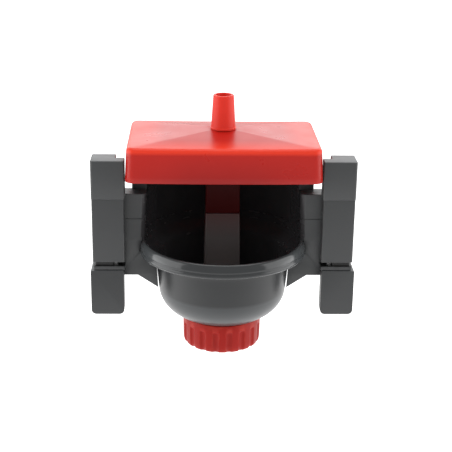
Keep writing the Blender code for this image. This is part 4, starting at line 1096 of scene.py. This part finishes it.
def post_plan(side, inset, outer_x):
    """Plan of a post: thick outside, thinner where it covers the wing's edge."""
    corner = max(0.9 * MM - inset * 0.4, 0.4 * MM)
    notch = POST_NOTCH_X + inset
    return fillet([
        (side * (POST_INNER_X + inset), POST_FRONT_Y + inset, corner),
        (side * (outer_x - inset), POST_FRONT_Y + inset, corner * 1.4),
        (side * (outer_x - inset), -inset, corner),
        (side * notch, -inset, 0.3 * MM),
        (side * notch, POST_NOTCH_Y - inset, 0.3 * MM),
        (side * (POST_INNER_X + inset), POST_NOTCH_Y - inset, 0.3 * MM),
    ], 5)


def rounded_stack(levels, side, outer_x):
    """Level sections of a post's plan from (z, inset) pairs."""
    return [[(x, y, z) for x, y in post_plan(side, inset, outer_x)] for z, inset in levels]


def make_post(side, label):
    """A post with a wider head, a set-in shaft and the block's guiding tongue."""
    edge = 0.5 * MM
    inset = 0.6 * MM
    top, neck, bottom = POST_TOP_Z, POST_HEAD_BOTTOM_Z, POST_BOTTOM_Z
    sections = rounded_stack([
        (top, edge), (top - 0.07 * MM, edge * 0.62), (top - 0.22 * MM, edge * 0.25), (top - edge, 0),
        (neck + 0.35 * MM, 0), (neck + 0.1 * MM, 0.12 * MM), (neck, 0.35 * MM),
    ], side, POST_OUTER_X)
    shaft_x = POST_OUTER_X + 0.4 * MM
    sections += rounded_stack([
        (neck - 0.25 * MM, inset), (neck - MM, inset), (bottom + 0.5 * MM, inset),
        (bottom + 0.15 * MM, inset + 0.15 * MM), (bottom, inset + 0.5 * MM),
    ], side, shaft_x)
    shape = skin(sections)
    inner, outer = POST_NOTCH_X + TONGUE_INSET, POST_OUTER_X - TONGUE_INSET
    front, back = POST_FRONT_Y + TONGUE_INSET, -TONGUE_INSET
    corners = ((inner, front), (outer, front), (outer, back), (inner, back))
    tongue = fillet([(side * x, y, 0.6 * MM) for x, y in corners], 4)
    merge(shape, prism(tongue, "Z", low(f"bracket_post_{label}").z, bottom + MM))
    finish(f"post_shell_{label}", shape, "base", "bracket_dark", [f"bracket_post_{label}"])


def make_block(side, label):
    """A block in two depths, with a neck on top that stands in the groove."""
    shape = bmesh.new()
    for inner_x, top_round, foot_round, front_y, back_y in (
            (POST_INNER_X + 1.2 * MM, 0.7 * MM, 3.0 * MM, POST_FRONT_Y, POST_NOTCH_Y),
            (POST_NOTCH_X, 0.3 * MM, 0.3 * MM, POST_NOTCH_Y, 0)):
        outline = fillet([
            (side * inner_x, BLOCK_TOP_Z, top_round),
            (side * BLOCK_OUTER_X, BLOCK_TOP_Z, 0.7 * MM),
            (side * BLOCK_OUTER_X, BLOCK_BOTTOM_Z, 3.0 * MM),
            (side * inner_x, BLOCK_BOTTOM_Z, foot_round),
        ], 6)
        merge(shape, prism(outline, "Y", front_y, back_y))
    neck, root = 0.45 * MM, 1.2 * MM
    levels = (
        (BLOCK_TOP_Z - MM, root), (BLOCK_TOP_Z + 0.55 * MM, root), (BLOCK_TOP_Z + 0.65 * MM, neck),
        (NECK_TOP_Z - 0.25 * MM, neck), (NECK_TOP_Z - 0.07 * MM, neck + 0.08 * MM),
        (NECK_TOP_Z, neck + 0.25 * MM),
    )
    merge(shape, skin(rounded_stack(levels, side, POST_OUTER_X)))
    finish(f"block_shell_{label}", shape, f"clamp_{label}", "bracket_dark", [f"clamp_block_{label}"],
           bevel=0.45 * MM)


# ---- screws ----

def make_screw(node, body, axis, ways):
    """A pan-head screw with a cross recess; ways is 1 with the head at the low end and -1 at the high end."""
    letter = "XYZ".index(axis)
    head_level, tip_level = [place[letter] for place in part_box(node)][::ways]
    others = [index for index in range(3) if index != letter]
    size = high(node) - low(node)
    head = min(size[index] for index in others) / 2
    thick, shank = head * 0.66, head * 0.48
    under_head = head_level + ways * thick
    recess_floor = head_level + ways * thick * 0.42
    profile = fillet([
        (head * 0.28, recess_floor, 0),
        (head * 0.3, head_level, 0.12 * MM),
        (head, head_level, head * 0.42),
        (head, under_head, 0.1 * MM),
        (shank, under_head, 0),
        (shank, tip_level - ways * 0.8 * MM, 0),
        (shank * 0.5, tip_level, 0),
        (0.02 * MM, tip_level, 0),
        (0.02 * MM, recess_floor, 0),
    ], 4)
    count = 40
    middle = centre(node)
    sections = []
    for radius, level in profile:
        ring = []
        for index in range(count):
            angle = 2 * pi * index / count
            reach = radius
            if 0.05 * head < radius < head * 0.36:
                reach = radius * (0.75 + 1.1 * max(0.0, cos(4 * angle)) ** 3)
            spot = [level, level, level]
            spot[others[0]] = middle[others[0]] + reach * cos(angle)
            spot[others[1]] = middle[others[1]] + reach * sin(angle)
            ring.append(spot)
        sections.append(ring)
    finish(f"{node}_shell", skin(sections, tube=True), body, "steel", [node])


def make_screws():
    """Every screw; the posts' and the float's have their heads at the high end."""
    for index in range(1, 5):
        make_screw(f"bowl_screw_{index}", "base", "Z", 1)
    for label in ("left", "right"):
        make_screw(f"clamp_screw_{label}", f"clamp_{label}", "Z", 1)
        for name in ("upper", "lower"):
            make_screw(f"post_screw_{label}_{name}", "base", "Y", -1)
    make_screw("float_screw", "float", "Z", -1)


# ---- carried-over nodes ----

def dress_nodes():
    """Procedural materials for the CAD nodes that stay."""
    for part in frame["record"]["subparts"]:
        node = frame["nodes"][part["node"]]
        for slot in node.material_slots:
            slot.material = LOOKS[part["material_slot"]]


# ---- stage, lights and camera ----

def make_floor():
    """A wide pale floor that glows, so the ground reads as white."""
    floor_z = CAD_BOUNDS[0].z - 150 * MM
    reach = 12.0
    shape = bmesh.new()
    shape.faces.new([shape.verts.new((reach * right, reach * back, floor_z)) for right, back in
                     ((-1, -1), (1, -1), (1, 1), (-1, 1))])
    floor = add_mesh("floor", shape)
    s = Shader("pale_floor")
    tone = s.span(s.noise(3.0, 2.0), 0.3, 0.7)
    s.set(Base_Color=s.mix(tone, (0.88, 0.88, 0.88), (0.9, 0.9, 0.9)), Roughness=0.85)
    glow = s.span(s.along("Y"), -0.6, -0.05, 0.0, 0.55)
    s.set(Emission_Color=(1.0, 1.0, 1.0), Emission_Strength=glow)
    floor.data.materials.append(LOOKS["pale_floor"])


def area_light(name, place, width, height, radiance):
    """A soft panel that faces the origin, unseen by the camera; its power follows from its radiance."""
    data = bpy.data.lights.new(name, "AREA")
    data.shape = "RECTANGLE"
    data.size = width
    data.size_y = height
    data.energy = radiance * pi * width * height
    light = add_object(name, data)
    light.location = place
    direction = Vector() - Vector(place)
    light.rotation_euler = direction.to_track_quat("-Z", "Y").to_euler()
    light.visible_camera = False


def make_lights():
    """An even white studio with panels behind, above and on both sides."""
    world = bpy.data.worlds.new("studio")
    world.use_nodes = True
    background = world.node_tree.nodes["Background"]
    background.inputs["Color"].default_value = (1.0, 1.0, 1.0, 1.0)
    background.inputs["Strength"].default_value = 0.62
    bpy.context.scene.world = world
    area_light("back_panel", (0, 1.5, 0.75), 2.6, 1.1, 1.6)
    area_light("top_panel", (0, 0.1, 1.3), 1.3, 1.1, 1.6)
    area_light("left_panel", (-1.1, -0.1, 0.2), 1.2, 1.0, 1.9)
    area_light("right_panel", (1.1, -0.1, 0.2), 1.2, 1.0, 1.7)


def make_camera():
    """The photograph's viewpoint: above and slightly left of the middle."""
    place = Vector((-0.0199, -0.6689, 0.2337))
    pitch, yaw, roll = radians(19.01), radians(1.88), radians(0.81)
    forward = Vector((sin(yaw) * cos(pitch), cos(yaw) * cos(pitch), -sin(pitch)))
    right = Vector((cos(yaw), -sin(yaw), 0))
    up = right.cross(forward)
    turned_right = right * cos(roll) + up * sin(roll)
    turned_up = up * cos(roll) - right * sin(roll)
    rotation = Matrix((turned_right, turned_up, -forward)).transposed()
    data = bpy.data.cameras.new("camera")
    data.lens = 89.24
    data.sensor_width = 36.0
    data.clip_start = 0.01
    camera = add_object("camera", data)
    camera.matrix_world = Matrix.Translation(place) @ rotation.to_4x4()
    bpy.context.scene.camera = camera


# ---- build ----

dress_nodes()
make_lid()
make_nozzle()
make_column()
make_float()
make_hood()
make_wings()
make_collar()
make_bowl()
make_cap()
for side, label in ((-1, "left"), (1, "right")):
    make_post(side, label)
    make_block(side, label)
make_screws()
make_floor()
make_lights()
make_camera()
bpy.context.scene.view_settings.view_transform = "Standard"
